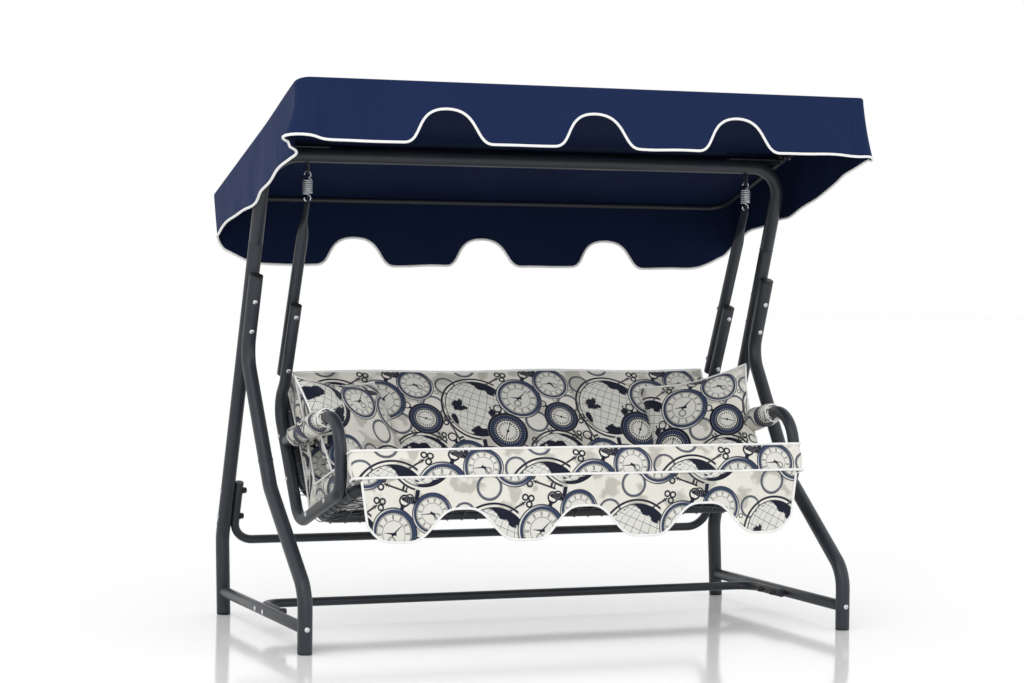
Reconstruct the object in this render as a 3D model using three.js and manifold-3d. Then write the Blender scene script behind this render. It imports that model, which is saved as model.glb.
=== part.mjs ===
// Canopy swing bench: a bent-tube stand, a sprung seat that hangs from it, and a tilting sun canopy.
// Millimetres. +X to the sitter's left, -Y is the front, +Z up, origin on the ground between the feet.
import * as THREE from 'three';
import { mergeVertices } from 'three/addons/utils/BufferGeometryUtils.js';
import Module from 'manifold-3d';

const wasm = await Module();
wasm.setup();

// ---------------------------------------------------------------- driving dimensions
const GAP = 0.3; // left between pieces that touch
const TUBE_WALL = 1.5;
const BEND_STEP = 30; // degrees of bend for each facet of a bent tube

// Stand
const LEG_OD = 48;
const LEG_X = 955; // centre plane of each leg frame
const TOP_BAR_Z = 1591;
const TOP_BAR_BEND = 120;
const TOP_BAR_FACET = 0.8; // its facets stand out this far past its radius
const LEG_LEAN = 21.5; // degrees from the vertical
const JOINT_DROP = 291; // from the top bar down to its ends' joints with the rear legs
const SPIGOT_LENGTH = 120;
const REAR_KNEE_Z = 272;
const REAR_FOOT_TUCK = 22.7; // how far the foot is in front of the knee
const FRONT_FOOT_Y = -493;
const STUB_DROP = 402; // from the top bar down to the front leg's upper end
const STUB_KNEE_Z = 920;
const SHIN_KNEE = [-85, 493];
const ANKLE_Z = 198;
const LEG_BEND = 120;
const LEG_BOLT_DROPS = [81, 181]; // from the front leg's upper end
const CAP_THICKNESS = 4;
const CAP_PLUG = 14;

const RAIL_OD = 38;
const RAIL_Z = 81;
const STRETCHER_OD = 30;
const STRETCHER_BEND = 70;
const LOWER_STRETCHER_Y = 135;
const LOWER_STRETCHER_END_Y = -110;
const REAR_STRETCHER_Z = 258;
const REAR_STRETCHER_TOP_Z = 468;
const REAR_STRETCHER_BOLTS_Z = [438, 345];

// Suspension
const SEAT_INSET = 144; // from each leg frame in to the hanger and side hoop
const SWING_DROP = 53; // from the top bar down to the axis that the springs' top hooks turn on
const SPRING_LENGTH = 100; // between its hooks
const SPRING_WIRE = 5.4;
const SPRING_RADIUS = 15.3;
const SPRING_TURNS = 8;
const HOOK_RADIUS = 11;
const HOOK_HOLE_RADIUS = 7;
const HOOK_LIP = 5;
const EYE_THICKNESS = 5;
const EYE_WIDTH = 28;

// Seat
const SEAT_OD = 40;
const HANGER_END_Z = 850;
const FLAT_THICKNESS = 7;
const FLAT_WIDTH = 50;
const FLAT_LENGTH = 40;
const FLAT_TAPER = 90;
const HOOP_TOP_Z = 1090;
const HOOP_SHOULDER = [247.5, 820];
const HOOP_BACK = [328, 745];
const HOOP_HEEL = [60, 358];
const HOOP_FRONT_Y = -400;
const ARM_FRONT = [-388, 765];
const ARM_SLOPE = 13.2;
const ARM_END_GAP = 1.5;
const HANGER_BOLTS_Z = [1056, 872];
const SEAT_SLOPE = 17.2; // the seat falls towards the back
const SEAT_FRAME_FRONT = 430; // from the rear bar, along the seat
const SEAT_REAR_BAR = [-20, 384];
const FRAME_BEND = 70;
const BACK_OD = 32;
const BACK_FRAME_FROM = 90; // along the back, from the hoops' heels
const BACK_FRAME_TO = 562;
const MESH_THICKNESS = 4;
const MESH_WIRE = 8;
const MESH_ROWS = 3;
const MESH_COLUMNS = 8;

// Soft goods
const CUSHION_THICKNESS = 90;
const CUSHION_CLEAR = 1.5;
const CUSHION_SIDE_CLEAR = 19; // between the cushions and the side hoops
const SEAT_CUSHION_FRONT = 497; // from the rear bar, along the seat
const BACK_CUSHION_FROM = 25;
const BACK_CUSHION_TO = 533;
const CUSHION_SEAM_GAP = 4;
const FLOUNCE_THICKNESS = 3;
const FLOUNCE_DROP = 202;
const FLOUNCE_ARCH_RISE = 105;
const FLOUNCE_ARCH_PITCH = 430;
const FLOUNCE_ARCH_HALF = 135;
const FLOUNCE_END_SLANT = 34;
const PILLOW_WIDTH = 370;
const PILLOW_THICKNESS = 60;
const PILLOW_TURN = 25.5;
const PILLOW_LEAN = 31;
const PILLOW_ROLL = 8;
const PILLOW_INSET = 215; // from the side hoops
const PILLOW_OFF_CORNER = [23.6, 218.6]; // from the crease between the two cushions
const ARM_PAD_OD = 64;
const ARM_PAD_FROM = 150; // along the arm, from its front corner
const ARM_PAD_LENGTH = 365;

// Canopy
const CANOPY_TILT = 18; // the canopy falls towards the back
const CANOPY_TUBE = 18;
const CANOPY_OVERHANG = 37; // past each leg frame
const CANOPY_SIDE_CLEAR = 5.5; // between the rails and the cloth's sides
const CANOPY_FRONT = 535; // from the tilt axis, along the canopy
const CANOPY_REAR = 572.9;
const CANOPY_DROP = 205;
const CANOPY_CORNER = 60;
const CANOPY_CLOTH = 2.5;
const CANOPY_AXIS_CLEAR = 0.4; // between the pivot's nut and the bracket's strip
const CROSS_BAR_BACK = 47; // from the tilt axis, along the canopy
const VALANCE_LEAN = 6; // degrees that the valance hangs in from square
const CANOPY_ARCH_PITCH = 508;
const CANOPY_ARCH_HALF = 132;
const CANOPY_ARCH_RISE = 112;
const BRACKET_OFF_RAIL = 23;
const BRACKET_LAP = 95; // length that lies on the straight part of the top bar
const BRACKET_THICKNESS = 4;
const BRACKET_WIDTH = 40;
const BRACKET_LIP = 3;

// Fasteners
const BOLT_SHANK = 8;
const BOLT_CLEAR = 0.5;
const BOLT_HEAD = 17;
const BOLT_HEAD_HEIGHT = 4;
const NUT_DIAMETER = 17;
const NUT_HEIGHT = 6;
const NUT_CAP = 5;
const THIN_HEAD_HEIGHT = 3;

// ---------------------------------------------------------------- materials
const finish = (color, roughness, metalness) => new THREE.MeshStandardMaterial({ color, roughness, metalness });
const FINISH = {
  powderCoat: finish(0x3a4046, 0.45, 0.3),
  zinc: finish(0xc4c7ca, 0.3, 0.9),
  plastic: finish(0x17181a, 0.5, 0),
  canopyCloth: finish(0x1b2850, 0.85, 0),
  printCloth: finish(0xd9d5c8, 0.9, 0),
  wire: finish(0x9a9ea2, 0.4, 0.8),
};

// ---------------------------------------------------------------- geometry helpers
const radians = THREE.MathUtils.degToRad;
const vec = (x, y, z) => new THREE.Vector3(x, y, z);
const inPlane = ([y, z]) => vec(0, y, z);
const SIDES = [['left', -1], ['right', 1]];

// A route given by its stations, so that straight stretches cost one step.
class StationPath extends THREE.Curve {
  constructor(points, tangents) {
    super();
    this.points = points;
    this.steps = points.length - 1;
    this.tangents = tangents ?? points.map((_, i) => {
      const before = points[Math.max(i - 1, 0)];
      const after = points[Math.min(i + 1, this.steps)];
      return after.clone().sub(before).normalize();
    });
  }

  station(u) {
    return Math.round(u * this.steps);
  }

  getPoint(t) {
    return this.points[this.station(t)].clone();
  }

  getPointAt(u) {
    return this.getPoint(u);
  }

  getTangentAt(u) {
    return this.tangents[this.station(u)].clone();
  }
}

// A bent tube's centre line: straight stretches between corners, with an arc of the given radius at each.
function bentPath(corners, radii) {
  const points = [corners[0].clone()];
  const tangents = [corners[1].clone().sub(corners[0]).normalize()];
  for (let i = 1; i < corners.length - 1; i += 1) {
    const arriving = corners[i].clone().sub(corners[i - 1]).normalize();
    const leaving = corners[i + 1].clone().sub(corners[i]).normalize();
    const bend = arriving.angleTo(leaving);
    const radius = radii[i - 1];
    const start = corners[i].clone().addScaledVector(arriving, -radius * Math.tan(bend / 2));
    const axis = arriving.clone().cross(leaving).normalize();
    const inward = axis.clone().cross(arriving);
    const centre = start.clone().addScaledVector(inward, radius);
    const count = Math.max(2, Math.ceil(bend / radians(BEND_STEP)));
    for (let k = 0; k <= count; k += 1) {
      const turn = (bend * k) / count;
      points.push(start.clone().sub(centre).applyAxisAngle(axis, turn).add(centre));
      tangents.push(arriving.clone().applyAxisAngle(axis, turn));
    }
  }
  points.push(corners.at(-1).clone());
  tangents.push(corners.at(-1).clone().sub(corners.at(-2)).normalize());
  return new StationPath(points, tangents);
}

// Polygon whose flats, not its corners, are at the given radius.
function polygon(radius, sides) {
  return Array.from({ length: sides }, (_, i) => {
    const angle = ((i + 0.5) / sides) * 2 * Math.PI;
    const corner = radius / Math.cos(Math.PI / sides);
    return new THREE.Vector2(corner * Math.cos(angle), corner * Math.sin(angle));
  });
}

function tube(path, outer, inner = outer - 2 * TUBE_WALL, sides = 12) {
  const section = new THREE.Shape(polygon(outer / 2, sides));
  if (inner > 0) section.holes.push(new THREE.Path(polygon(inner / 2, sides)));
  return new THREE.ExtrudeGeometry(section, { steps: path.steps, bevelEnabled: false, extrudePath: path });
}

const straightTube = (from, to, outer, inner, sides) => tube(new StationPath([from, to]), outer, inner, sides);

function toSolid(geometry) {
  const plain = new THREE.BufferGeometry();
  plain.setAttribute('position', geometry.getAttribute('position').clone());
  if (geometry.index) plain.setIndex(geometry.index.clone());
  const merged = mergeVertices(plain, 1e-3);
  const vertProperties = new Float32Array(merged.getAttribute('position').array);
  const triVerts = new Uint32Array(merged.index.array);
  return new wasm.Manifold(new wasm.Mesh({ numProp: 3, vertProperties, triVerts }));
}

function toGeometry(solid) {
  const mesh = solid.getMesh();
  const geometry = new THREE.BufferGeometry();
  geometry.setAttribute('position', new THREE.BufferAttribute(new Float32Array(mesh.vertProperties), 3));
  geometry.setIndex(new THREE.BufferAttribute(new Uint32Array(mesh.triVerts), 1));
  geometry.computeVertexNormals();
  return geometry;
}

const cut = (geometry, tools) => toGeometry(
  tools.reduce((solid, tool) => solid.subtract(toSolid(tool)), toSolid(geometry)),
);

function alignY(geometry, centre, direction) {
  const turn = new THREE.Quaternion().setFromUnitVectors(vec(0, 1, 0), direction.clone().normalize());
  return geometry.applyQuaternion(turn).translate(centre.x, centre.y, centre.z);
}

const holeTool = (centre, direction, length, radius = BOLT_SHANK / 2 + BOLT_CLEAR) => alignY(
  new THREE.CylinderGeometry(radius, radius, length, 8),
  centre,
  direction,
);

const asVectors = (outline) => outline.map(([a, b]) => new THREE.Vector2(a, b));

// Outline points (y, z) pushed along X, centred on the plane x = 0.
function prismAlongX(outline, width) {
  const geometry = new THREE.ExtrudeGeometry(new THREE.Shape(outline), { depth: width, bevelEnabled: false });
  const basis = new THREE.Matrix4().makeBasis(vec(0, 1, 0), vec(0, 0, 1), vec(1, 0, 0));
  return geometry.translate(0, 0, -width / 2).applyMatrix4(basis);
}

function roundedRectangle(halfWidth, from, to, radius) {
  const shape = new THREE.Shape();
  shape.moveTo(-halfWidth + radius, from);
  shape.lineTo(halfWidth - radius, from);
  shape.absarc(halfWidth - radius, from + radius, radius, -Math.PI / 2, 0);
  shape.lineTo(halfWidth, to - radius);
  shape.absarc(halfWidth - radius, to - radius, radius, 0, Math.PI / 2);
  shape.lineTo(-halfWidth + radius, to);
  shape.absarc(-halfWidth + radius, to - radius, radius, Math.PI / 2, Math.PI);
  shape.lineTo(-halfWidth, from + radius);
  shape.absarc(-halfWidth + radius, from + radius, radius, Math.PI, 1.5 * Math.PI);
  return shape;
}

// Outline drawn in (x, z) and given a thickness along Y, centred on the plane y = 0.
function sheetAcross(shape, thickness, curveSegments = 4) {
  const geometry = new THREE.ExtrudeGeometry(shape, { depth: thickness, bevelEnabled: false, curveSegments });
  return geometry.translate(0, 0, -thickness / 2).rotateX(Math.PI / 2);
}

// Carriage bolt with a domed head at the start and a capped nut at the end, along +Y, centred on its grip.
function boltGeometry(grip, headHeight = BOLT_HEAD_HEIGHT, nutHeight = NUT_HEIGHT) {
  const seat = grip / 2 + GAP;
  const profile = [
    [0, -seat - headHeight],
    [BOLT_HEAD * 0.32, -seat - headHeight * 0.8],
    [BOLT_HEAD / 2, -seat - headHeight * 0.25],
    [BOLT_HEAD / 2, -seat],
    [BOLT_SHANK / 2, -seat],
    [BOLT_SHANK / 2, seat],
    [NUT_DIAMETER / 2, seat],
    [NUT_DIAMETER / 2, seat + nutHeight],
    [NUT_DIAMETER * 0.36, seat + nutHeight + NUT_CAP * 0.7],
    [0, seat + nutHeight + NUT_CAP],
  ];
  return new THREE.LatheGeometry(asVectors(profile), 8);
}

function makeMesh(name, geometry, material, position) {
  const mesh = new THREE.Mesh(geometry, material);
  mesh.name = name;
  if (position) mesh.position.copy(position);
  return mesh;
}

function boltMesh(name, centre, direction, grip, headHeight, nutHeight) {
  const mesh = makeMesh(name, boltGeometry(grip, headHeight, nutHeight), FINISH.zinc, centre);
  mesh.quaternion.setFromUnitVectors(vec(0, 1, 0), direction.clone().normalize());
  return mesh;
}

// Plug with a flange, along +Z from the flange's outer face.
function capGeometry(tubeOuter, flange, plug) {
  const plugRadius = tubeOuter / 2 - TUBE_WALL - 2;
  const profile = [[0, 0], [tubeOuter / 2, 0], [tubeOuter / 2, flange], [plugRadius, flange], [plugRadius, plug], [0, plug]];
  return new THREE.LatheGeometry(asVectors(profile), 12).rotateX(Math.PI / 2);
}

// ---------------------------------------------------------------- stand
const topBarReach = LEG_OD / 2 + TOP_BAR_FACET + GAP;
const jointZ = TOP_BAR_Z - JOINT_DROP;
const stubTopZ = TOP_BAR_Z - STUB_DROP;
const legBoltsZ = LEG_BOLT_DROPS.map((drop) => stubTopZ - drop);
const hangerX = LEG_X - SEAT_INSET;
const swingZ = TOP_BAR_Z - SWING_DROP;
const hookZ = swingZ - SPRING_LENGTH;
const canopyHalfWidth = LEG_X + CANOPY_OVERHANG;
const canopyRailX = canopyHalfWidth - CANOPY_CLOTH - CANOPY_SIDE_CLEAR - CANOPY_TUBE / 2;
const bracketX = canopyRailX - BRACKET_OFF_RAIL;
const canopyAxisZ = TOP_BAR_Z + topBarReach + BRACKET_THICKNESS + NUT_DIAMETER / 2 + CANOPY_AXIS_CLEAR;
const legSlope = Math.tan(radians(LEG_LEAN));
const legAcross = vec(0, Math.cos(radians(LEG_LEAN)), Math.sin(radians(LEG_LEAN)));
const legUp = vec(0, -Math.sin(radians(LEG_LEAN)), Math.cos(radians(LEG_LEAN)));
const onRearLeg = (z) => vec(0, (TOP_BAR_Z - z) * legSlope, z);
const stubOffset = LEG_OD + GAP;
const onStub = (z) => vec(0, onRearLeg(z).y - stubOffset / Math.cos(radians(LEG_LEAN)), z);
const rearFootY = onRearLeg(REAR_KNEE_Z).y - REAR_FOOT_TUCK;
const BELOW_FLOOR = 30;

function trimFoot(y) {
  const depth = 2 * BELOW_FLOOR;
  const size = 3 * LEG_OD;
  return new THREE.BoxGeometry(size, size, depth).translate(0, y, CAP_THICKNESS + GAP - depth / 2);
}

function topBar() {
  const end = onRearLeg(jointZ);
  const corners = [
    vec(-LEG_X, end.y, end.z),
    vec(-LEG_X, 0, TOP_BAR_Z),
    vec(LEG_X, 0, TOP_BAR_Z),
    vec(LEG_X, end.y, end.z),
  ];
  return bentPath(corners, [TOP_BAR_BEND, TOP_BAR_BEND]);
}

function legBoltCentre(z) {
  return onStub(z).addScaledVector(legAcross, stubOffset / 2);
}

const stretcherX = LEG_X - LEG_OD / 2 - STRETCHER_OD / 2 - GAP;
const railStretcherX = LEG_X - RAIL_OD / 2 - STRETCHER_OD / 2 - GAP;

function rearLeg() {
  const start = onRearLeg(jointZ).addScaledVector(legUp, -GAP);
  const knee = onRearLeg(REAR_KNEE_Z);
  const foot = vec(0, rearFootY, 0);
  const below = foot.clone().addScaledVector(foot.clone().sub(knee).normalize(), BELOW_FLOOR);
  const body = tube(bentPath([start, knee, below], [LEG_BEND]), LEG_OD);
  const holes = [
    ...legBoltsZ.map((z) => holeTool(onRearLeg(legBoltCentre(z).z + legAcross.z * stubOffset / 2), legAcross, 2 * LEG_OD)),
    ...REAR_STRETCHER_BOLTS_Z.map((z) => holeTool(onRearLeg(z), vec(1, 0, 0), 2 * LEG_OD)),
  ];
  return cut(body, [trimFoot(rearFootY), ...holes]);
}

function frontLeg() {
  const top = onStub(stubTopZ).addScaledVector(legUp, -CAP_THICKNESS - GAP);
  const corners = [top, onStub(STUB_KNEE_Z), inPlane(SHIN_KNEE), vec(0, FRONT_FOOT_Y, ANKLE_Z), vec(0, FRONT_FOOT_Y, CAP_THICKNESS + GAP)];
  const body = tube(bentPath(corners, [LEG_BEND, LEG_BEND, LEG_BEND]), LEG_OD);
  const holes = [
    ...legBoltsZ.map((z) => holeTool(onStub(z), legAcross, 2 * LEG_OD)),
    holeTool(vec(0, FRONT_FOOT_Y, RAIL_Z), vec(0, 1, 0), 2 * LEG_OD),
  ];
  return cut(body, holes);
}

function rearLegFrontFaceY(z) {
  const knee = onRearLeg(REAR_KNEE_Z);
  const share = z / knee.z;
  return rearFootY + (knee.y - rearFootY) * share - LEG_OD / 2;
}

const footBoltGrip = LEG_OD + 20;

function standGroup() {
  const group = new THREE.Group();
  group.add(makeMesh('top_bar', tube(topBar(), LEG_OD), FINISH.powderCoat));

  const rearPath = bentPath([
    onRearLeg(REAR_STRETCHER_TOP_Z).setX(-stretcherX),
    onRearLeg(REAR_STRETCHER_Z).setX(-stretcherX),
    onRearLeg(REAR_STRETCHER_Z).setX(stretcherX),
    onRearLeg(REAR_STRETCHER_TOP_Z).setX(stretcherX),
  ], [STRETCHER_BEND, STRETCHER_BEND]);
  const rearHoles = SIDES.flatMap(([, side]) => REAR_STRETCHER_BOLTS_Z.map(
    (z) => holeTool(onRearLeg(z).setX(side * stretcherX), vec(1, 0, 0), 2 * STRETCHER_OD),
  ));
  group.add(makeMesh('rear_stretcher', cut(tube(rearPath, STRETCHER_OD, undefined, 8), rearHoles), FINISH.powderCoat));

  const lowerPath = bentPath([
    vec(-railStretcherX, LOWER_STRETCHER_END_Y, RAIL_Z),
    vec(-railStretcherX, LOWER_STRETCHER_Y, RAIL_Z),
    vec(railStretcherX, LOWER_STRETCHER_Y, RAIL_Z),
    vec(railStretcherX, LOWER_STRETCHER_END_Y, RAIL_Z),
  ], [STRETCHER_BEND, STRETCHER_BEND]);
  group.add(makeMesh('lower_stretcher', tube(lowerPath, STRETCHER_OD, undefined, 8), FINISH.powderCoat));

  for (const [label, side] of SIDES) {
    const plane = new THREE.Group();
    plane.position.x = side * LEG_X;
    plane.add(makeMesh(`rear_leg_${label}`, rearLeg(), FINISH.powderCoat));
    plane.add(makeMesh(`front_leg_${label}`, frontLeg(), FINISH.powderCoat));

    const spigotOuter = LEG_OD - 2 * TUBE_WALL - 2 * GAP;
    const joint = onRearLeg(jointZ);
    const spigotEnds = [-1, 1].map((end) => joint.clone().addScaledVector(legUp, (end * SPIGOT_LENGTH) / 2));
    plane.add(makeMesh(`joint_spigot_${label}`, straightTube(...spigotEnds, spigotOuter), FINISH.powderCoat));

    const railFront = FRONT_FOOT_Y + LEG_OD / 2 + GAP;
    const railRear = rearLegFrontFaceY(RAIL_Z - RAIL_OD / 2) - GAP;
    const rail = straightTube(vec(0, railFront, RAIL_Z), vec(0, railRear, RAIL_Z), RAIL_OD);
    plane.add(makeMesh(`side_rail_${label}`, rail, FINISH.powderCoat));

    for (const [end, y] of [['front', FRONT_FOOT_Y], ['rear', rearFootY]]) {
      plane.add(makeMesh(`foot_cap_${end}_${label}`, capGeometry(LEG_OD, CAP_THICKNESS, CAP_PLUG), FINISH.plastic, vec(0, y, 0)));
    }
    const stubCap = makeMesh(`front_leg_cap_${label}`, capGeometry(LEG_OD, CAP_THICKNESS, CAP_PLUG), FINISH.plastic, onStub(stubTopZ));
    stubCap.quaternion.setFromUnitVectors(vec(0, 0, 1), legUp.clone().negate());
    plane.add(stubCap);

    legBoltsZ.forEach((z, i) => {
      plane.add(boltMesh(`leg_bolt_${i + 1}_${label}`, legBoltCentre(z), legAcross, 2 * LEG_OD + GAP));
    });
    REAR_STRETCHER_BOLTS_Z.forEach((z, i) => {
      const grip = LEG_OD + STRETCHER_OD + GAP;
      const centre = onRearLeg(z).setX(-side * (grip - LEG_OD) / 2);
      plane.add(boltMesh(`stretcher_bolt_${i + 1}_${label}`, centre, vec(-side, 0, 0), grip));
    });
    const footBoltY = FRONT_FOOT_Y - LEG_OD / 2 + footBoltGrip / 2;
    plane.add(boltMesh(`foot_bolt_${label}`, vec(0, footBoltY, RAIL_Z), vec(0, 1, 0), footBoltGrip));
    group.add(plane);

    group.add(makeMesh(`spring_eye_${label}`, springEye(), FINISH.powderCoat, vec(side * hangerX, 0, swingZ)));
    group.add(makeMesh(`canopy_bracket_${label}`, canopyBracket(side), FINISH.powderCoat));
    const pivotGrip = canopyRailX + CANOPY_TUBE / 2 - bracketX + BRACKET_THICKNESS / 2;
    const pivotCentre = vec(side * (canopyRailX + CANOPY_TUBE / 2 - pivotGrip / 2), 0, canopyAxisZ);
    group.add(boltMesh(`canopy_pivot_${label}`, pivotCentre, vec(-side, 0, 0), pivotGrip, THIN_HEAD_HEIGHT));
  }
  return group;
}

// Lug under the top bar, with the hole for the spring's hook at its origin.
function springEye() {
  const top = TOP_BAR_Z - topBarReach - swingZ;
  const bottom = -HOOK_HOLE_RADIUS - HOOK_LIP;
  const half = EYE_WIDTH / 2;
  const outline = [[-half, top], [-half, bottom / 3], [-half / 2, bottom], [half / 2, bottom], [half, bottom / 3], [half, top]];
  const plate = prismAlongX(asVectors(outline.reverse()), EYE_THICKNESS);
  return cut(plate, [holeTool(vec(0, 0, 0), vec(1, 0, 0), 4 * EYE_THICKNESS, HOOK_HOLE_RADIUS)]);
}

// Strip lying on the end of the top bar, with an upturned tab that the canopy's rail is bolted to.
function canopyBracket(side) {
  const half = BRACKET_WIDTH / 2;
  const bottom = TOP_BAR_Z + topBarReach;
  const length = bracketX - (LEG_X - TOP_BAR_BEND - BRACKET_LAP);
  const strip = new THREE.BoxGeometry(length, BRACKET_WIDTH, BRACKET_THICKNESS);
  strip.translate(side * (bracketX - length / 2), 0, bottom + BRACKET_THICKNESS / 2);
  const shoulder = canopyAxisZ - BOLT_SHANK / 2;
  const top = canopyAxisZ + BOLT_SHANK / 2 + BRACKET_LIP;
  const outline = [[-half, bottom], [half, bottom], [half, shoulder], [half / 4, top], [-half / 4, top], [-half, shoulder]];
  const tab = prismAlongX(asVectors(outline), BRACKET_THICKNESS).translate(side * bracketX, 0, 0);
  const pivot = holeTool(vec(side * bracketX, 0, canopyAxisZ), vec(1, 0, 0), 4 * BRACKET_THICKNESS);
  return cut(toGeometry(toSolid(strip).add(toSolid(tab))), [pivot]);
}

// ---------------------------------------------------------------- suspension
// Extension spring along Z: a hook in the XZ plane at each end of a close coil.
function springPath() {
  const middle = (swingZ + hookZ) / 2;
  const hookReach = 2 * HOOK_RADIUS + SPRING_WIRE / 2;
  const coilHalf = (swingZ - hookZ) / 2 - hookReach;
  const hook = Array.from({ length: 8 }, (_, k) => {
    const angle = radians(190 - 40 * k);
    return vec(HOOK_RADIUS * Math.cos(angle), 0, coilHalf + hookReach - HOOK_RADIUS + HOOK_RADIUS * Math.sin(angle));
  });
  const perTurn = 8;
  const coil = Array.from({ length: SPRING_TURNS * perTurn + 1 }, (_, k) => {
    const angle = (k / perTurn) * 2 * Math.PI;
    const height = coilHalf - (2 * coilHalf * k) / (SPRING_TURNS * perTurn);
    return vec(SPRING_RADIUS * Math.cos(angle), SPRING_RADIUS * Math.sin(angle), height);
  });
  const lowerHook = hook.map((p) => vec(p.x, p.y, -p.z)).reverse();
  return new StationPath([...hook, ...coil, ...lowerHook].map((p) => p.add(vec(0, 0, middle))));
}

function springGroup() {
  const group = new THREE.Group();
  const path = springPath();
  for (const [label, side] of SIDES) {
    group.add(makeMesh(`spring_${label}`, tube(path, SPRING_WIRE, 0, 4), FINISH.zinc, vec(side * hangerX, 0, 0)));
  }
  return group;
}

// ---------------------------------------------------------------- seat frame
// The hanger runs down from the spring's hook and lies along the back of the hoop's stub, which ends at its shoulder.
function leanOfHanger() {
  const [y, z] = HOOP_SHOULDER;
  const drop = hookZ - z;
  return Math.atan2(y, drop) + Math.asin((SEAT_OD + GAP) / Math.hypot(y, drop));
}

const hangerLean = leanOfHanger();
const hangerSlope = Math.tan(hangerLean);
const hangerAcross = vec(0, Math.cos(hangerLean), Math.sin(hangerLean));
const hangerUp = vec(0, -Math.sin(hangerLean), Math.cos(hangerLean));
const onHanger = (z) => vec(0, (hookZ - z) * hangerSlope, z);
const onHoopStub = (z) => vec(0, onHanger(z).y - (SEAT_OD + GAP) / Math.cos(hangerLean), z);
const backAlong = inPlane(HOOP_BACK).sub(inPlane(HOOP_HEEL)).normalize();
const backTurn = -Math.atan2(backAlong.y, backAlong.z);
const onBack = (distance) => inPlane(HOOP_HEEL).addScaledVector(backAlong, distance);
const onSeat = (distance) => vec(
  0,
  SEAT_REAR_BAR[0] - distance * Math.cos(radians(SEAT_SLOPE)),
  SEAT_REAR_BAR[1] + distance * Math.sin(radians(SEAT_SLOPE)),
);
const armAlong = vec(0, Math.cos(radians(ARM_SLOPE)), -Math.sin(radians(ARM_SLOPE)));
const armBend = 120;
const hoopBend = 90;

// The hanger is flattened at its upper end, where the spring's hook passes through it.
function hanger() {
  const length = (hookZ - HANGER_END_Z) / Math.cos(hangerLean);
  const tip = HOOK_HOLE_RADIUS + HOOK_LIP;
  const heights = [-length, -FLAT_TAPER - FLAT_LENGTH, -FLAT_TAPER / 2 - FLAT_LENGTH, -FLAT_LENGTH, tip];
  const sides = 8;
  const geometry = tube(new StationPath(heights.map((z) => vec(0, 0, z))), SEAT_OD, undefined, sides);
  const position = geometry.getAttribute('position');
  const middleOfWall = (SEAT_OD / 2 - TUBE_WALL / 2) / Math.cos(Math.PI / sides);
  for (let i = 0; i < position.count; i += 1) {
    const share = THREE.MathUtils.smoothstep(position.getZ(i), -FLAT_TAPER - FLAT_LENGTH, -FLAT_LENGTH);
    const depth = Math.hypot(position.getX(i), position.getY(i)) < middleOfWall ? TUBE_WALL : 0;
    const round = SEAT_OD / 2 - depth;
    const acrossHalf = THREE.MathUtils.lerp(SEAT_OD / 2, FLAT_THICKNESS / 2, share) - depth;
    const alongHalf = THREE.MathUtils.lerp(SEAT_OD / 2, FLAT_WIDTH / 2, share) - depth;
    position.setX(i, (position.getX(i) * acrossHalf) / round);
    position.setY(i, (position.getY(i) * alongHalf) / round);
  }
  const bolts = HANGER_BOLTS_Z.map((z) => {
    const along = (hangerBoltCentre(z).z + hangerAcross.z * (SEAT_OD + GAP) / 2 - hookZ) / hangerUp.z;
    return holeTool(vec(0, 0, along), vec(0, 1, 0), 2 * SEAT_OD);
  });
  return cut(geometry, [holeTool(vec(0, 0, 0), vec(1, 0, 0), SEAT_OD, HOOK_HOLE_RADIUS), ...bolts]);
}

function hangerBoltCentre(z) {
  return onHoopStub(z).addScaledVector(hangerAcross, (SEAT_OD + GAP) / 2);
}

function hoopPath() {
  const start = onHoopStub(HOOP_TOP_Z).addScaledVector(hangerUp, -CAP_THICKNESS - GAP);
  const front = onSeat((SEAT_REAR_BAR[0] - HOOP_FRONT_Y) / Math.cos(radians(SEAT_SLOPE)));
  const arm = inPlane(ARM_FRONT);
  const corners = [start, onHoopStub(HOOP_SHOULDER[1]), inPlane(HOOP_BACK), inPlane(HOOP_HEEL), front, arm];
  corners.push(arm.clone().addScaledVector(armAlong, armLength()));
  return bentPath(corners, [hoopBend, hoopBend, hoopBend, hoopBend * 0.8, armBend]);
}

// From the arm's front corner to where it meets the hoop's back.
function armLength() {
  const arm = inPlane(ARM_FRONT);
  const heel = inPlane(HOOP_HEEL);
  const across = backAlong.y * armAlong.z - backAlong.z * armAlong.y;
  const reach = (backAlong.y * (heel.z - arm.z) - backAlong.z * (heel.y - arm.y)) / across;
  const square = Math.abs(across);
  const lean = Math.abs(backAlong.dot(armAlong));
  return reach - (SEAT_OD / 2 + ARM_END_GAP + (SEAT_OD / 2) * lean) / square;
}

// A tube bent into a rectangle, its ends butted in the middle of the side at along = 0.
function rectangleLoop(halfWidth, reach, outer, along) {
  const at = (x, distance) => along.clone().multiplyScalar(distance).setX(x);
  const corners = [
    at(GAP, 0),
    at(halfWidth, 0),
    at(halfWidth, reach),
    at(-halfWidth, reach),
    at(-halfWidth, 0),
    at(-GAP, 0),
  ];
  return tube(bentPath(corners, [FRAME_BEND, FRAME_BEND, FRAME_BEND, FRAME_BEND]), outer, undefined, 8);
}

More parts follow.
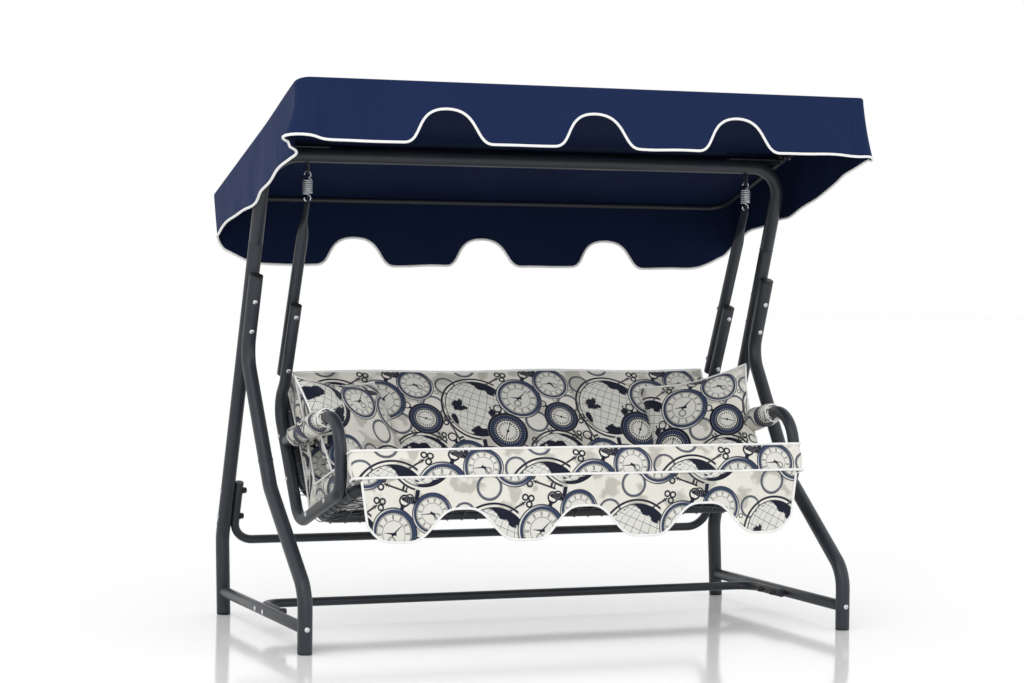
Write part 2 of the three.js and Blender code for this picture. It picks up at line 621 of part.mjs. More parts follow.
// Grid of wires as one sheet in the XY plane, its near edge at y = from and its corners rounded.
function wireMesh(halfWidth, from, to, corner) {
  const slab = (inset, thickness) => toSolid(new THREE.ExtrudeGeometry(
    roundedRectangle(halfWidth - inset, from + inset, to - inset, corner - inset),
    { depth: thickness, bevelEnabled: false, curveSegments: 2 },
  ).translate(0, 0, -thickness / 2));
  const inner = slab(MESH_WIRE, 3 * MESH_THICKNESS);
  const cellWidth = (2 * halfWidth - MESH_WIRE) / MESH_COLUMNS;
  const cellDepth = (to - from - MESH_WIRE) / MESH_ROWS;
  let grid = slab(0, MESH_THICKNESS);
  for (let column = 0; column < MESH_COLUMNS; column += 1) {
    for (let row = 0; row < MESH_ROWS; row += 1) {
      const x = -halfWidth + MESH_WIRE / 2 + (column + 0.5) * cellWidth;
      const y = from + MESH_WIRE / 2 + (row + 0.5) * cellDepth;
      const cell = new THREE.BoxGeometry(cellWidth - MESH_WIRE, cellDepth - MESH_WIRE, 2 * MESH_THICKNESS);
      grid = grid.subtract(toSolid(cell.translate(x, y, 0)).intersect(inner));
    }
  }
  return toGeometry(grid);
}

// ---------------------------------------------------------------- soft goods
const backFace = BACK_OD / 2 + CUSHION_CLEAR;
const seatFace = SEAT_OD / 2 + CUSHION_CLEAR;
const cushionHalfWidth = hangerX - SEAT_OD / 2 - CUSHION_SIDE_CLEAR;
const seatUp = vec(0, Math.sin(radians(SEAT_SLOPE)), Math.cos(radians(SEAT_SLOPE)));
const backOut = vec(0, -backAlong.z, backAlong.y);

// Where the seat cushion's top meets the back cushion's front.
function cushionCrease() {
  const onTop = inPlane(SEAT_REAR_BAR).addScaledVector(seatUp, seatFace + CUSHION_THICKNESS);
  const onFront = onBack(0).addScaledVector(backOut, backFace + CUSHION_THICKNESS);
  const seatAlong = onSeat(1).sub(onSeat(0));
  return onTop.addScaledVector(seatAlong, onFront.sub(onTop).dot(backOut) / seatAlong.dot(backOut));
}

// The seat cushion's side view in the seat's own axes. Its rear end follows the back cushion's face.
function seatCushionOutline() {
  const turn = radians(SEAT_SLOPE);
  const face = onBack(0).addScaledVector(backOut, backFace + CUSHION_THICKNESS + CUSHION_SEAM_GAP).sub(inPlane(SEAT_REAR_BAR));
  const start = face.applyAxisAngle(vec(1, 0, 0), turn);
  const along = backAlong.clone().applyAxisAngle(vec(1, 0, 0), turn);
  const rearAt = (z) => start.y + (along.y / along.z) * (z - start.z);
  const top = seatFace + CUSHION_THICKNESS;
  return [[-SEAT_CUSHION_FRONT, seatFace], [rearAt(seatFace), seatFace], [rearAt(top), top], [-SEAT_CUSHION_FRONT, top]];
}

// Frill with a row of arches cut up from its lower edge, drawn down from z = 0.
function flounceShape() {
  const half = cushionHalfWidth;
  const shape = new THREE.Shape();
  shape.moveTo(half, 0);
  shape.lineTo(-half, 0);
  shape.lineTo(-half + FLOUNCE_END_SLANT, -FLOUNCE_DROP);
  archesAlong(shape, [-1, 0, 1].map((i) => i * FLOUNCE_ARCH_PITCH), FLOUNCE_ARCH_HALF, FLOUNCE_ARCH_RISE, -FLOUNCE_DROP);
  shape.lineTo(half - FLOUNCE_END_SLANT, -FLOUNCE_DROP);
  return shape;
}

function archesAlong(shape, centres, half, rise, base) {
  for (const x of centres) {
    shape.lineTo(x - half, base);
    shape.bezierCurveTo(x - half * 0.55, base, x - half * 0.75, base + rise, x, base + rise);
    shape.bezierCurveTo(x + half * 0.75, base + rise, x + half * 0.55, base, x + half, base);
  }
}

function pillowGeometry() {
  const bevel = PILLOW_WIDTH / 8;
  const half = PILLOW_WIDTH / 2 - bevel;
  const middle = PILLOW_THICKNESS / 6;
  const square = new THREE.Shape(asVectors([[-half, -half], [half, -half], [half, half], [-half, half]]));
  const geometry = new THREE.ExtrudeGeometry(square, {
    depth: middle,
    bevelThickness: (PILLOW_THICKNESS - middle) / 2,
    bevelSize: bevel,
    bevelSegments: 2,
  });
  return geometry.translate(0, 0, -middle / 2).rotateX(Math.PI / 2);
}

function seatGroup() {
  const group = new THREE.Group();
  const path = hoopPath();
  const sideX = hangerX - SEAT_OD / 2 - GAP;

  const seatPlane = new THREE.Group();
  seatPlane.position.copy(inPlane(SEAT_REAR_BAR));
  seatPlane.rotation.x = -radians(SEAT_SLOPE);
  const seatX = sideX - SEAT_OD / 2;
  seatPlane.add(makeMesh('seat_frame', rectangleLoop(seatX, SEAT_FRAME_FRONT, SEAT_OD, vec(0, -1, 0)), FINISH.powderCoat));
  const seatInner = SEAT_OD / 2 + GAP;
  const seatMesh = wireMesh(seatX - seatInner, -SEAT_FRAME_FRONT + seatInner, -seatInner, FRAME_BEND);
  seatPlane.add(makeMesh('seat_mesh', seatMesh, FINISH.wire));
  const cushion = prismAlongX(asVectors(seatCushionOutline()), 2 * cushionHalfWidth);
  seatPlane.add(makeMesh('seat_cushion', cushion, FINISH.printCloth));
  group.add(seatPlane);

  const backPlane = new THREE.Group();
  backPlane.position.copy(inPlane(HOOP_HEEL));
  backPlane.rotation.x = backTurn;
  const backX = sideX - BACK_OD / 2;
  const backReach = BACK_FRAME_TO - BACK_FRAME_FROM;
  const backFrame = rectangleLoop(backX, backReach, BACK_OD, vec(0, 0, 1));
  backPlane.add(makeMesh('back_frame', backFrame, FINISH.powderCoat, vec(0, 0, BACK_FRAME_FROM)));
  const backInner = BACK_OD / 2 + GAP;
  const backMesh = wireMesh(backX - backInner, BACK_FRAME_FROM + backInner, BACK_FRAME_TO - backInner, FRAME_BEND);
  backMesh.rotateX(Math.PI / 2);
  backPlane.add(makeMesh('back_mesh', backMesh, FINISH.wire));
  const backHeight = BACK_CUSHION_TO - BACK_CUSHION_FROM;
  const backCushion = new THREE.BoxGeometry(2 * cushionHalfWidth, CUSHION_THICKNESS, backHeight);
  const backCentre = vec(0, -backFace - CUSHION_THICKNESS / 2, BACK_CUSHION_FROM + backHeight / 2);
  backPlane.add(makeMesh('back_cushion', backCushion, FINISH.printCloth, backCentre));
  group.add(backPlane);

  const lowerEdge = onSeat(SEAT_CUSHION_FRONT).addScaledVector(seatUp, seatFace);
  const flounce = sheetAcross(flounceShape(), FLOUNCE_THICKNESS);
  const flouncePlace = lowerEdge.add(vec(0, -FLOUNCE_THICKNESS / 2 - GAP, -GAP));
  group.add(makeMesh('flounce', flounce, FINISH.printCloth, flouncePlace));

  for (const [label, side] of SIDES) {
    const plane = new THREE.Group();
    plane.position.x = side * hangerX;
    const hangerMesh = makeMesh(`hanger_${label}`, hanger(), FINISH.powderCoat, onHanger(hookZ));
    hangerMesh.rotation.x = hangerLean;
    plane.add(hangerMesh);
    const stubHoles = HANGER_BOLTS_Z.map((z) => holeTool(onHoopStub(z), hangerAcross, 2 * SEAT_OD));
    plane.add(makeMesh(`hoop_${label}`, cut(tube(path, SEAT_OD, undefined, 8), stubHoles), FINISH.powderCoat));
    const cap = makeMesh(`hoop_cap_${label}`, capGeometry(SEAT_OD, CAP_THICKNESS, CAP_PLUG), FINISH.plastic, onHoopStub(HOOP_TOP_Z));
    cap.quaternion.setFromUnitVectors(vec(0, 0, 1), hangerUp.clone().negate());
    plane.add(cap);
    HANGER_BOLTS_Z.forEach((z, i) => {
      plane.add(boltMesh(`hanger_bolt_${i + 1}_${label}`, hangerBoltCentre(z), hangerAcross, 2 * SEAT_OD + GAP));
    });
    const padEnds = [ARM_PAD_FROM, ARM_PAD_FROM + ARM_PAD_LENGTH].map((d) => inPlane(ARM_FRONT).addScaledVector(armAlong, d));
    const pad = straightTube(...padEnds, ARM_PAD_OD, SEAT_OD + 2 * CUSHION_CLEAR, 8);
    plane.add(makeMesh(`arm_pad_${label}`, pad, FINISH.printCloth));
    group.add(plane);

    const corner = new THREE.Group();
    corner.position.copy(cushionCrease().add(inPlane(PILLOW_OFF_CORNER))).setX(side * (hangerX - PILLOW_INSET));
    corner.rotation.z = -side * radians(PILLOW_TURN);
    const pillow = makeMesh(`pillow_${label}`, pillowGeometry(), FINISH.printCloth);
    pillow.rotation.set(-radians(PILLOW_LEAN), -side * radians(PILLOW_ROLL), 0);
    corner.add(pillow);
    group.add(corner);
  }
  return group;
}

// ---------------------------------------------------------------- canopy
const clothUnder = CANOPY_TUBE / 2 + GAP; // inner face of the cloth above the frame's plane

function canopyCloth() {
  const settings = (depth) => ({ depth, bevelEnabled: false, curveSegments: 3 });
  const inset = CANOPY_CLOTH;
  const outer = new THREE.ExtrudeGeometry(
    roundedRectangle(canopyHalfWidth, -CANOPY_FRONT, CANOPY_REAR, CANOPY_CORNER),
    settings(CANOPY_DROP),
  ).translate(0, 0, clothUnder + inset - CANOPY_DROP);
  const hollow = new THREE.ExtrudeGeometry(
    roundedRectangle(canopyHalfWidth - inset, -CANOPY_FRONT + inset, CANOPY_REAR - inset, CANOPY_CORNER - inset),
    settings(CANOPY_DROP),
  ).translate(0, 0, clothUnder - CANOPY_DROP);
  const base = clothUnder + inset - CANOPY_DROP;
  const below = base - CANOPY_CLOTH;
  const arches = [-1, 0, 1].flatMap((i) => [-CANOPY_FRONT, CANOPY_REAR].map((y) => {
    const shape = new THREE.Shape();
    shape.moveTo(i * CANOPY_ARCH_PITCH + CANOPY_ARCH_HALF, below);
    shape.lineTo(i * CANOPY_ARCH_PITCH - CANOPY_ARCH_HALF, below);
    archesAlong(shape, [i * CANOPY_ARCH_PITCH], CANOPY_ARCH_HALF, CANOPY_ARCH_RISE, base);
    shape.closePath();
    return sheetAcross(shape, 2 * CANOPY_CORNER, 5).translate(0, y, 0);
  }));
  const lean = new THREE.Matrix4().makeShear(0, 0, 0, 0, 0, -Math.tan(radians(VALANCE_LEAN)));
  return cut(outer, [hollow, ...arches]).translate(0, 0, -clothUnder).applyMatrix4(lean).translate(0, 0, clothUnder);
}

function canopyFrameHalf(from, to) {
  const x = canopyRailX;
  const corners = [vec(-x, from, 0), vec(-x, to, 0), vec(x, to, 0), vec(x, from, 0)];
  const bend = CANOPY_CORNER;
  return tube(bentPath(corners, [bend, bend]), CANOPY_TUBE, undefined, 8);
}

function canopyGroup() {
  const group = new THREE.Group();
  group.position.z = canopyAxisZ;
  group.rotation.x = -radians(CANOPY_TILT);
  const railInset = canopyHalfWidth - canopyRailX;
  const split = -BRACKET_WIDTH;
  const front = canopyFrameHalf(split - GAP, -CANOPY_FRONT + railInset);
  group.add(makeMesh('canopy_front_frame', front, FINISH.powderCoat));
  const pivots = SIDES.map(([, side]) => holeTool(vec(side * canopyRailX, 0, 0), vec(1, 0, 0), 2 * CANOPY_TUBE));
  const rear = cut(canopyFrameHalf(split, CANOPY_REAR - railInset), pivots);
  group.add(makeMesh('canopy_rear_frame', rear, FINISH.powderCoat));
  const barX = canopyRailX - CANOPY_TUBE / 2 - GAP;
  const bar = straightTube(vec(-barX, CROSS_BAR_BACK, 0), vec(barX, CROSS_BAR_BACK, 0), CANOPY_TUBE, undefined, 8);
  group.add(makeMesh('canopy_cross_bar', bar, FINISH.powderCoat));
  group.add(makeMesh('canopy_cloth', canopyCloth(), FINISH.canopyCloth));
  return group;
}

// ---------------------------------------------------------------- assembly
const bench = new THREE.Group();
bench.add(standGroup(), canopyGroup(), springGroup(), seatGroup());

export default bench;
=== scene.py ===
"""Canopy swing bench: the looks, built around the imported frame. Metres, in the frame's own axes."""

import math

import bpy
import numpy as np
from mathutils import Matrix, Quaternion, Vector


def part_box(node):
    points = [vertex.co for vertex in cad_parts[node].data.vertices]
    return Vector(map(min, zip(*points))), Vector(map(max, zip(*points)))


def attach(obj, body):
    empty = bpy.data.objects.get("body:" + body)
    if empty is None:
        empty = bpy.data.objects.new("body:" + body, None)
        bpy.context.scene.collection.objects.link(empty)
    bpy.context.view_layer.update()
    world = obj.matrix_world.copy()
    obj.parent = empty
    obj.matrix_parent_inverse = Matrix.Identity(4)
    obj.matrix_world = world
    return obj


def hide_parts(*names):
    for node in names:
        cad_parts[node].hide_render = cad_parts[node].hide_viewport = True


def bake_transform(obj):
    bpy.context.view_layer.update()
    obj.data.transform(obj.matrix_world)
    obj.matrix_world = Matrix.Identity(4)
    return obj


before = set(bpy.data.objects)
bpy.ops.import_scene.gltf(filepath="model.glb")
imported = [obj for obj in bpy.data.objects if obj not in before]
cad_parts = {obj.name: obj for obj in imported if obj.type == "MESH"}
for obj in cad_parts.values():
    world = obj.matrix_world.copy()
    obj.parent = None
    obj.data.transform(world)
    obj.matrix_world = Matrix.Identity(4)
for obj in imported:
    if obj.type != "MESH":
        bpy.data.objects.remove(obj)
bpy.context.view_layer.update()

SIDES = (("left", -1), ("right", 1))

# ------------------------------------------------------------------ layout of the steelwork
LEG_R = 0.024
LEG_X = 0.955
TOP_BAR_Z = 1.591
LEG_LEAN = math.radians(21.5)
JOINT_Z = 1.300
LEG_BEND = 0.120
REAR_KNEE_Z = 0.272
REAR_FOOT_Y = 0.4969
FRONT_FOOT_Y = -0.493
STUB_TOP_Z = 1.189
STUB_KNEE_Z = 0.920
SHIN_KNEE = (-0.085, 0.493)
ANKLE_Z = 0.198
CAP_LIP = 0.004
LEG_BOLTS_Z = (1.108, 1.008)
GAP = 0.0003

RAIL_R = 0.019
RAIL_Z = 0.081
STRETCHER_R = 0.015
STRETCHER_BEND = 0.070
LOWER_STRETCHER_Y = 0.135
LOWER_STRETCHER_END_Y = -0.110
LOWER_BOLTS_Y = (0.022, -0.070)
REAR_STRETCHER_Z = 0.258
REAR_STRETCHER_TOP_Z = 0.468
REAR_BOLTS_Z = (0.438, 0.345)

HANGER_X = 0.811
SWING_Z = 1.538
HOOK_Z = 1.438
SEAT_R = 0.020
HANGER_LEAN = math.radians(25.3)
HANGER_END_Z = 0.850
HOOP_TOP_Z = 1.090
HOOP_SHOULDER_Z = 0.820
HOOP_BACK = (0.328, 0.745)
HOOP_HEEL = (0.060, 0.358)
HOOP_FRONT_Y = -0.400
HOOP_BEND = 0.090
ARM_FRONT = (-0.388, 0.765)
ARM_BEND = 0.120
ARM_SLOPE = math.radians(13.2)
HANGER_BOLTS_Z = (1.056, 0.872)
SEAT_SLOPE = math.radians(17.2)
SEAT_REAR_BAR = (-0.020, 0.384)
SEAT_FRAME_FRONT = 0.430
FRAME_BEND = 0.070
BACK_R = 0.016
BACK_FRAME_SPAN = (0.090, 0.562)
SEAT_BOLTS = (0.060, 0.270)
BACK_BOLTS = (0.340, 0.172)

CANOPY_TILT = math.radians(18)
CANOPY_TUBE_R = 0.009
CANOPY_RAIL_X = 0.975
CANOPY_HALF_WIDTH = 0.992
CANOPY_FRONT = 0.535
CANOPY_REAR = 0.5729
CANOPY_CORNER = 0.060
CANOPY_AXIS_Z = 1.629
CANOPY_SPLIT = -0.040
CROSS_BAR_BACK = 0.047
BRACKET_X = 0.952


# ------------------------------------------------------------------ small geometry helpers
def unit(vector):
    return Vector(vector).normalized()


def in_plane(pair, x=0.0):
    return Vector((x, pair[0], pair[1]))


def smooth(value):
    value = min(1, max(0, value))
    return value * value * (3 - 2 * value)


LEG_UP = Vector((0, -math.sin(LEG_LEAN), math.cos(LEG_LEAN)))
LEG_ACROSS = Vector((0, math.cos(LEG_LEAN), math.sin(LEG_LEAN)))
HANGER_UP = Vector((0, -math.sin(HANGER_LEAN), math.cos(HANGER_LEAN)))
HANGER_ACROSS = Vector((0, math.cos(HANGER_LEAN), math.sin(HANGER_LEAN)))
BACK_ALONG = unit(in_plane(HOOP_BACK) - in_plane(HOOP_HEEL))
BACK_OUT = Vector((0, -BACK_ALONG.z, BACK_ALONG.y))
SEAT_BACKWARD = Vector((0, math.cos(SEAT_SLOPE), -math.sin(SEAT_SLOPE)))
SEAT_UP = Vector((0, math.sin(SEAT_SLOPE), math.cos(SEAT_SLOPE)))
ARM_ALONG = Vector((0, math.cos(ARM_SLOPE), -math.sin(ARM_SLOPE)))


def on_rear_leg(z, x=0.0):
    return Vector((x, (TOP_BAR_Z - z) * math.tan(LEG_LEAN), z))


def on_stub(z, x=0.0):
    return on_rear_leg(z, x) - Vector((0, (2 * LEG_R + GAP) / math.cos(LEG_LEAN), 0))


def on_hanger(z, x=0.0):
    return Vector((x, (HOOK_Z - z) * math.tan(HANGER_LEAN), z))


def on_hoop_stub(z, x=0.0):
    return on_hanger(z, x) - Vector((0, (2 * SEAT_R + GAP) / math.cos(HANGER_LEAN), 0))


def on_back(distance, x=0.0):
    return in_plane(HOOP_HEEL, x) + BACK_ALONG * distance


def on_seat(distance, x=0.0):
    return in_plane(SEAT_REAR_BAR, x) - SEAT_BACKWARD * distance


def bent_line(corners, radii, step=math.radians(6)):
    """Straight stretches between corners, with an arc at each one."""
    corners = [Vector(c) for c in corners]
    points = [corners[0]]
    for before, corner, after, radius in zip(corners, corners[1:], corners[2:], radii):
        arriving, leaving = unit(corner - before), unit(after - corner)
        bend = arriving.angle(leaving)
        start = corner - arriving * radius * math.tan(bend / 2)
        axis = unit(arriving.cross(leaving))
        centre = start + axis.cross(arriving) * radius
        count = max(3, math.ceil(bend / step))
        for k in range(count + 1):
            points.append(centre + Quaternion(axis, bend * k / count) @ (start - centre))
    points.append(corners[-1])
    return points


def resampled(points, spacing):
    """The same line with a point about every spacing along it."""
    points = np.array([tuple(p) for p in points])
    lengths = np.r_[0, np.cumsum(np.linalg.norm(np.diff(points, axis=0), axis=1))]
    count = max(2, int(round(lengths[-1] / spacing)) + 1)
    at = np.linspace(0, lengths[-1], count)
    return [Vector(tuple(np.interp(a, lengths, points[:, k]) for k in range(3))) for a in at]


def line_length(points):
    return sum((Vector(b) - Vector(a)).length for a, b in zip(points, points[1:]))


def new_piece(name, verts, faces, material):
    mesh = bpy.data.meshes.new(name)
    mesh.from_pydata([tuple(v) for v in verts], [], [tuple(f) for f in faces])
    mesh.validate()
    piece = bpy.data.objects.new(name, mesh)
    bpy.context.scene.collection.objects.link(piece)
    mesh.materials.append(material)
    mesh.shade_smooth()
    return piece


def sweep(points, section, closed=False, start_normal=None):
    """Rings of a section carried along a line without twist.

    section(i, share) gives the section's (across, up) pairs at station i.
    """
    points = [Vector(p) for p in points]
    count = len(points)
    tangents = []
    for i in range(count):
        ahead = points[(i + 1) % count] if closed else points[min(i + 1, count - 1)]
        behind = points[i - 1] if closed else points[max(i - 1, 0)]
        tangents.append(unit(ahead - behind))
    normal = Vector(start_normal) if start_normal else Vector((1, 0, 0))
    if abs(normal.dot(tangents[0])) > 0.95:
        normal = Vector((0, 0, 1))
    normal = unit(normal - tangents[0] * normal.dot(tangents[0]))
    normals = [normal]
    for i in range(1, count):
        turn = tangents[i - 1].rotation_difference(tangents[i])
        normal = turn @ normal
        normals.append(unit(normal - tangents[i] * normal.dot(tangents[i])))
    if closed:
        last = tangents[-1].rotation_difference(tangents[0]) @ normals[-1]
        side = tangents[0].cross(normals[0])
        slip = math.atan2(last.dot(side), last.dot(normals[0]))
        normals = [Quaternion(t, -slip * i / count) @ n for i, (t, n) in enumerate(zip(tangents, normals))]
    rings = []
    for i, (point, tangent, normal) in enumerate(zip(points, tangents, normals)):
        side = tangent.cross(normal)
        ring = section(i, i / (count - 1))
        rings.append([point + normal * a + side * b for a, b in ring])
    return rings


def flattened(rings):
    return [entry for ring in rings for entry in ring]


def skin(rings, closed=False, cap_end=True):
    """Faces between rings, with both ends filled unless the line is closed or its far end stays open."""
    sides = len(rings[0])
    verts = flattened(rings)
    faces = []
    for i in range(len(rings) if closed else len(rings) - 1):
        a, b = i * sides, ((i + 1) % len(rings)) * sides
        for k in range(sides):
            m = (k + 1) % sides
            faces.append((a + k, a + m, b + m, b + k))
    if not closed:
        faces.append(tuple(reversed(range(sides))))
    if not closed and cap_end:
        first = (len(rings) - 1) * sides
        faces.append(tuple(range(first, first + sides)))
    return verts, faces


def circle(radius, sides, squash=1.0):
    return [
        (radius * math.cos(2 * math.pi * k / sides), radius * squash * math.sin(2 * math.pi * k / sides))
        for k in range(sides)
    ]


def with_soft_ends(points, radius, edge=0.0012):
    """Adds a few stations at each end, and gives every station's share of the radius, for a rounded end."""
    points = [Vector(p) for p in points]
    head, tail = unit(points[1] - points[0]), unit(points[-2] - points[-1])
    rounded = ((0.0, 1 - edge / radius), (0.35 * edge, 1 - 0.3 * edge / radius), (edge, 1.0))
    starts = [points[0] + head * d for d, _ in rounded]
    ends = [points[-1] + tail * d for d, _ in reversed(rounded)]
    line = starts + points[1:-1] + ends
    scale = [s for _, s in rounded] + [1.0] * (len(points) - 2) + [s for _, s in reversed(rounded)]
    return line, scale


def tube(name, points, radius, material, sides=32, closed=False):
    """Round bar along a line, either a closed loop or with softly rounded ends."""
    if closed:
        ring = circle(radius, sides)
        verts, faces = skin(sweep(points, lambda i, s: ring, closed=True), closed=True)
        return new_piece(name, verts, faces, material)
    line, scale = with_soft_ends(points, radius)
    rings = sweep(line, lambda i, s: circle(radius * scale[i], sides))
    verts, faces = skin(rings)
    return new_piece(name, verts, faces, material)


def lathe(name, profile, base, direction, material, sides=32):
    """Turns (radius, height) pairs about an axis that starts at base and runs along direction."""
    direction = unit(direction)
    side = unit(direction.orthogonal())
    other = direction.cross(side)
    verts, faces, rings = [], [], []
    for radius, height in profile:
        centre = Vector(base) + direction * height
        if radius < 1e-7:
            rings.append([len(verts)])
            verts.append(centre)
            continue
        rings.append(list(range(len(verts), len(verts) + sides)))
        for k in range(sides):
            angle = 2 * math.pi * k / sides
            verts.append(centre + (side * math.cos(angle) + other * math.sin(angle)) * radius)
    for low, high in zip(rings, rings[1:]):
        for k in range(sides):
            m = (k + 1) % sides
            if len(low) == 1:
                faces.append((low[0], high[m], high[k]))
            elif len(high) == 1:
                faces.append((low[k], low[m], high[0]))
            else:
                faces.append((low[k], low[m], high[m], high[k]))
    return new_piece(name, verts, faces, material)


def finish_piece(piece, body, slot, *nodes):
    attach(piece, body)
    if nodes:
        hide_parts(*nodes)
    return piece


def painted_tube(name, points, radius, body, *nodes, sides=32, closed=False):
    """Steel tube with the paint on it, standing for the nodes."""
    return finish_piece(tube(name, points, radius, POWDER_COAT, sides, closed), body, "powder_coat", *nodes)


def piping_along(name, points, radius, body, slot, sides=10, closed=True):
    return finish_piece(tube(name, points, radius, WHITE_TRIM, sides, closed), body, slot)


def lay_cloth(piece, corners_of):
    """Gives each corner of each face its place on the flat cloth, in metres."""
    layer = piece.data.uv_layers.new(name="cloth")
    for polygon in piece.data.polygons:
        for i, place in zip(polygon.loop_indices, corners_of(polygon)):
            layer.data[i].uv = place


# ------------------------------------------------------------------ materials
def tree_of(name):
    """New material with only a shader and an output, and the sums that write into its tree."""
    material = bpy.data.materials.new(name)
    material.use_nodes = True
    nodes = material.node_tree.nodes
    nodes.clear()
    output = nodes.new("ShaderNodeOutputMaterial")
    shader = nodes.new("ShaderNodeBsdfPrincipled")
    material.node_tree.links.new(shader.outputs["BSDF"], output.inputs["Surface"])
    return material, Sums(material.node_tree), shader


def set_inputs(s, shader, values):
    for label, value in values.items():
        s.put(shader.inputs[label], value)


class Sums:
    """Short names for the shader maths used by the patterns below."""

    def __init__(self, tree):
        self.tree = tree

    def put(self, socket, value):
        if isinstance(value, bpy.types.NodeSocket):
            self.tree.links.new(value, socket)
        elif value is not None:
            socket.default_value = value

    def math(self, operation, a, b=None, c=None, clamp=False):
        node = self.tree.nodes.new("ShaderNodeMath")
        node.operation = operation
        node.use_clamp = clamp
        for socket, value in zip(node.inputs, (a, b, c)):
            self.put(socket, value)
        return node.outputs[0]

    def vector(self, operation, a, b=None, c=None, scale=None):
        node = self.tree.nodes.new("ShaderNodeVectorMath")
        node.operation = operation
        for socket, value in zip(node.inputs, (a, b, c)):
            self.put(socket, value)
        if scale is not None:
            self.put(node.inputs["Scale"], scale)
        return node.outputs["Value" if operation == "LENGTH" else "Vector"]

    def parts(self, vector):
        node = self.tree.nodes.new("ShaderNodeSeparateXYZ")
        self.put(node.inputs[0], vector)
        return node.outputs[0], node.outputs[1], node.outputs[2]

    def distance(self, place, x, y):
        return self.vector("LENGTH", self.vector("SUBTRACT", place, (x, y, 0.0)))

    def turned(self, x, y, turn):
        """The same place seen on axes turned by an angle."""
        c, t = self.math("COSINE", turn), self.math("SINE", turn)
        along = self.math("ADD", self.math("MULTIPLY", x, c), self.math("MULTIPLY", y, t))
        across = self.math("SUBTRACT", self.math("MULTIPLY", y, c), self.math("MULTIPLY", x, t))
        return along, across

    def stretched(self, place, x, y, z=1.0):
        return self.vector("MULTIPLY", place, (x, y, z))

    def joined(self, x, y, z=0.0):
        node = self.tree.nodes.new("ShaderNodeCombineXYZ")
        for socket, value in zip(node.inputs, (x, y, z)):
            self.put(socket, value)
        return node.outputs[0]

    def below(self, value, limit, soft=0.012):
        """1 where value is under limit, 0 above it, with a soft step."""
        node = self.tree.nodes.new("ShaderNodeMapRange")
        self.put(node.inputs["Value"], value)
        self.put(node.inputs["From Min"], limit - soft)
        self.put(node.inputs["From Max"], limit + soft)
        node.inputs["To Min"].default_value = 1
        node.inputs["To Max"].default_value = 0
        return node.outputs[0]

    def band(self, value, middle, half, soft=0.012):
        return self.below(self.math("ABSOLUTE", self.math("SUBTRACT", value, middle)), half, soft)

    def both(self, *masks):
        result = masks[0]
        for mask in masks[1:]:
            result = self.math("MULTIPLY", result, mask)
        return result

    def either(self, *masks):
        result = masks[0]
        for mask in masks[1:]:
            result = self.math("MAXIMUM", result, mask)
        return result

    def without(self, mask, other):
        return self.math("MULTIPLY", mask, self.math("SUBTRACT", 1.0, other))

    def wave(self, value, count):
        return self.math("SINE", self.math("MULTIPLY", value, float(count)))

    def mix(self, share, a, b):
        node = self.tree.nodes.new("ShaderNodeMix")
        node.data_type = "RGBA"
        self.put(node.inputs["Factor"], share)
        self.put(node.inputs["A"], a)
        self.put(node.inputs["B"], b)
        return node.outputs["Result"]

    def noise(self, vector, scale, detail=2.0, roughness=0.5):
        node = self.tree.nodes.new("ShaderNodeTexNoise")
        self.put(node.inputs["Vector"], vector)
        node.inputs["Scale"].default_value = scale
        node.inputs["Detail"].default_value = detail
        node.inputs["Roughness"].default_value = roughness
        return node.outputs[0]

    def bump(self, height, distance, strength=1.0, normal=None):
        node = self.tree.nodes.new("ShaderNodeBump")
        self.put(node.inputs["Height"], height)
        node.inputs["Distance"].default_value = distance
        self.put(node.inputs["Strength"], strength)
        if normal is not None:
            self.put(node.inputs["Normal"], normal)
        return node.outputs[0]


VECTOR, FLOAT = "NodeSocketVector", "NodeSocketFloat"
REPEAT = 0.51
GROUPS = {}


def group_tree(name, inputs, outputs):
    tree = bpy.data.node_groups.new(name, "ShaderNodeTree")
    for label, kind in inputs:
        tree.interface.new_socket(label, in_out="INPUT", socket_type=kind)
    for label, kind in outputs:
        tree.interface.new_socket(label, in_out="OUTPUT", socket_type=kind)
    return tree, tree.nodes.new("NodeGroupInput"), tree.nodes.new("NodeGroupOutput")


def use_group(s, group, values):
    node = s.tree.nodes.new("ShaderNodeGroup")
    node.node_tree = group
    set_inputs(s, node, values)
    return node


def motif_place():
    """Cloth coordinates seen from one motif of the repeat: moved, turned and scaled to a radius of 1."""
    inputs = [("Cloth", VECTOR), ("Centre", VECTOR), ("Radius", FLOAT), ("Turn", FLOAT)]
    tree, given, made = group_tree("motif_place", inputs, [("Place", VECTOR)])
    s = Sums(tree)
    away = s.vector("SUBTRACT", given.outputs["Cloth"], given.outputs["Centre"])
    half = REPEAT / 2
    away = s.vector("WRAP", away, (half, half, half), (-half, -half, -half))
    x, y, _ = s.parts(away)
    flat = s.joined(*s.turned(x, y, given.outputs["Turn"]))
    scaled = s.vector("SCALE", flat, scale=s.math("DIVIDE", 1.0, given.outputs["Radius"]))
    tree.links.new(scaled, made.inputs["Place"])
    return tree


MASKS = [("Ink", FLOAT), ("Steel", FLOAT), ("Cover", FLOAT)]


def motif_tree(name, extra=None):
    """Group that takes a motif's own place, and maybe one more value, and gives its masks."""
    inputs = [("Place", VECTOR)] + ([(extra, FLOAT)] if extra else [])
    tree, given, made = group_tree(name, inputs, MASKS)
    s = Sums(tree)
    place = given.outputs["Place"]
    x, y, _ = s.parts(place)
    return s, given, made, place, x, y, s.vector("LENGTH", place)


def finish_masks(s, made, ink, steel, cover):
    for label, mask in (("Ink", ink), ("Steel", steel), ("Cover", cover)):
        s.tree.links.new(mask, made.inputs[label])
    return s.tree


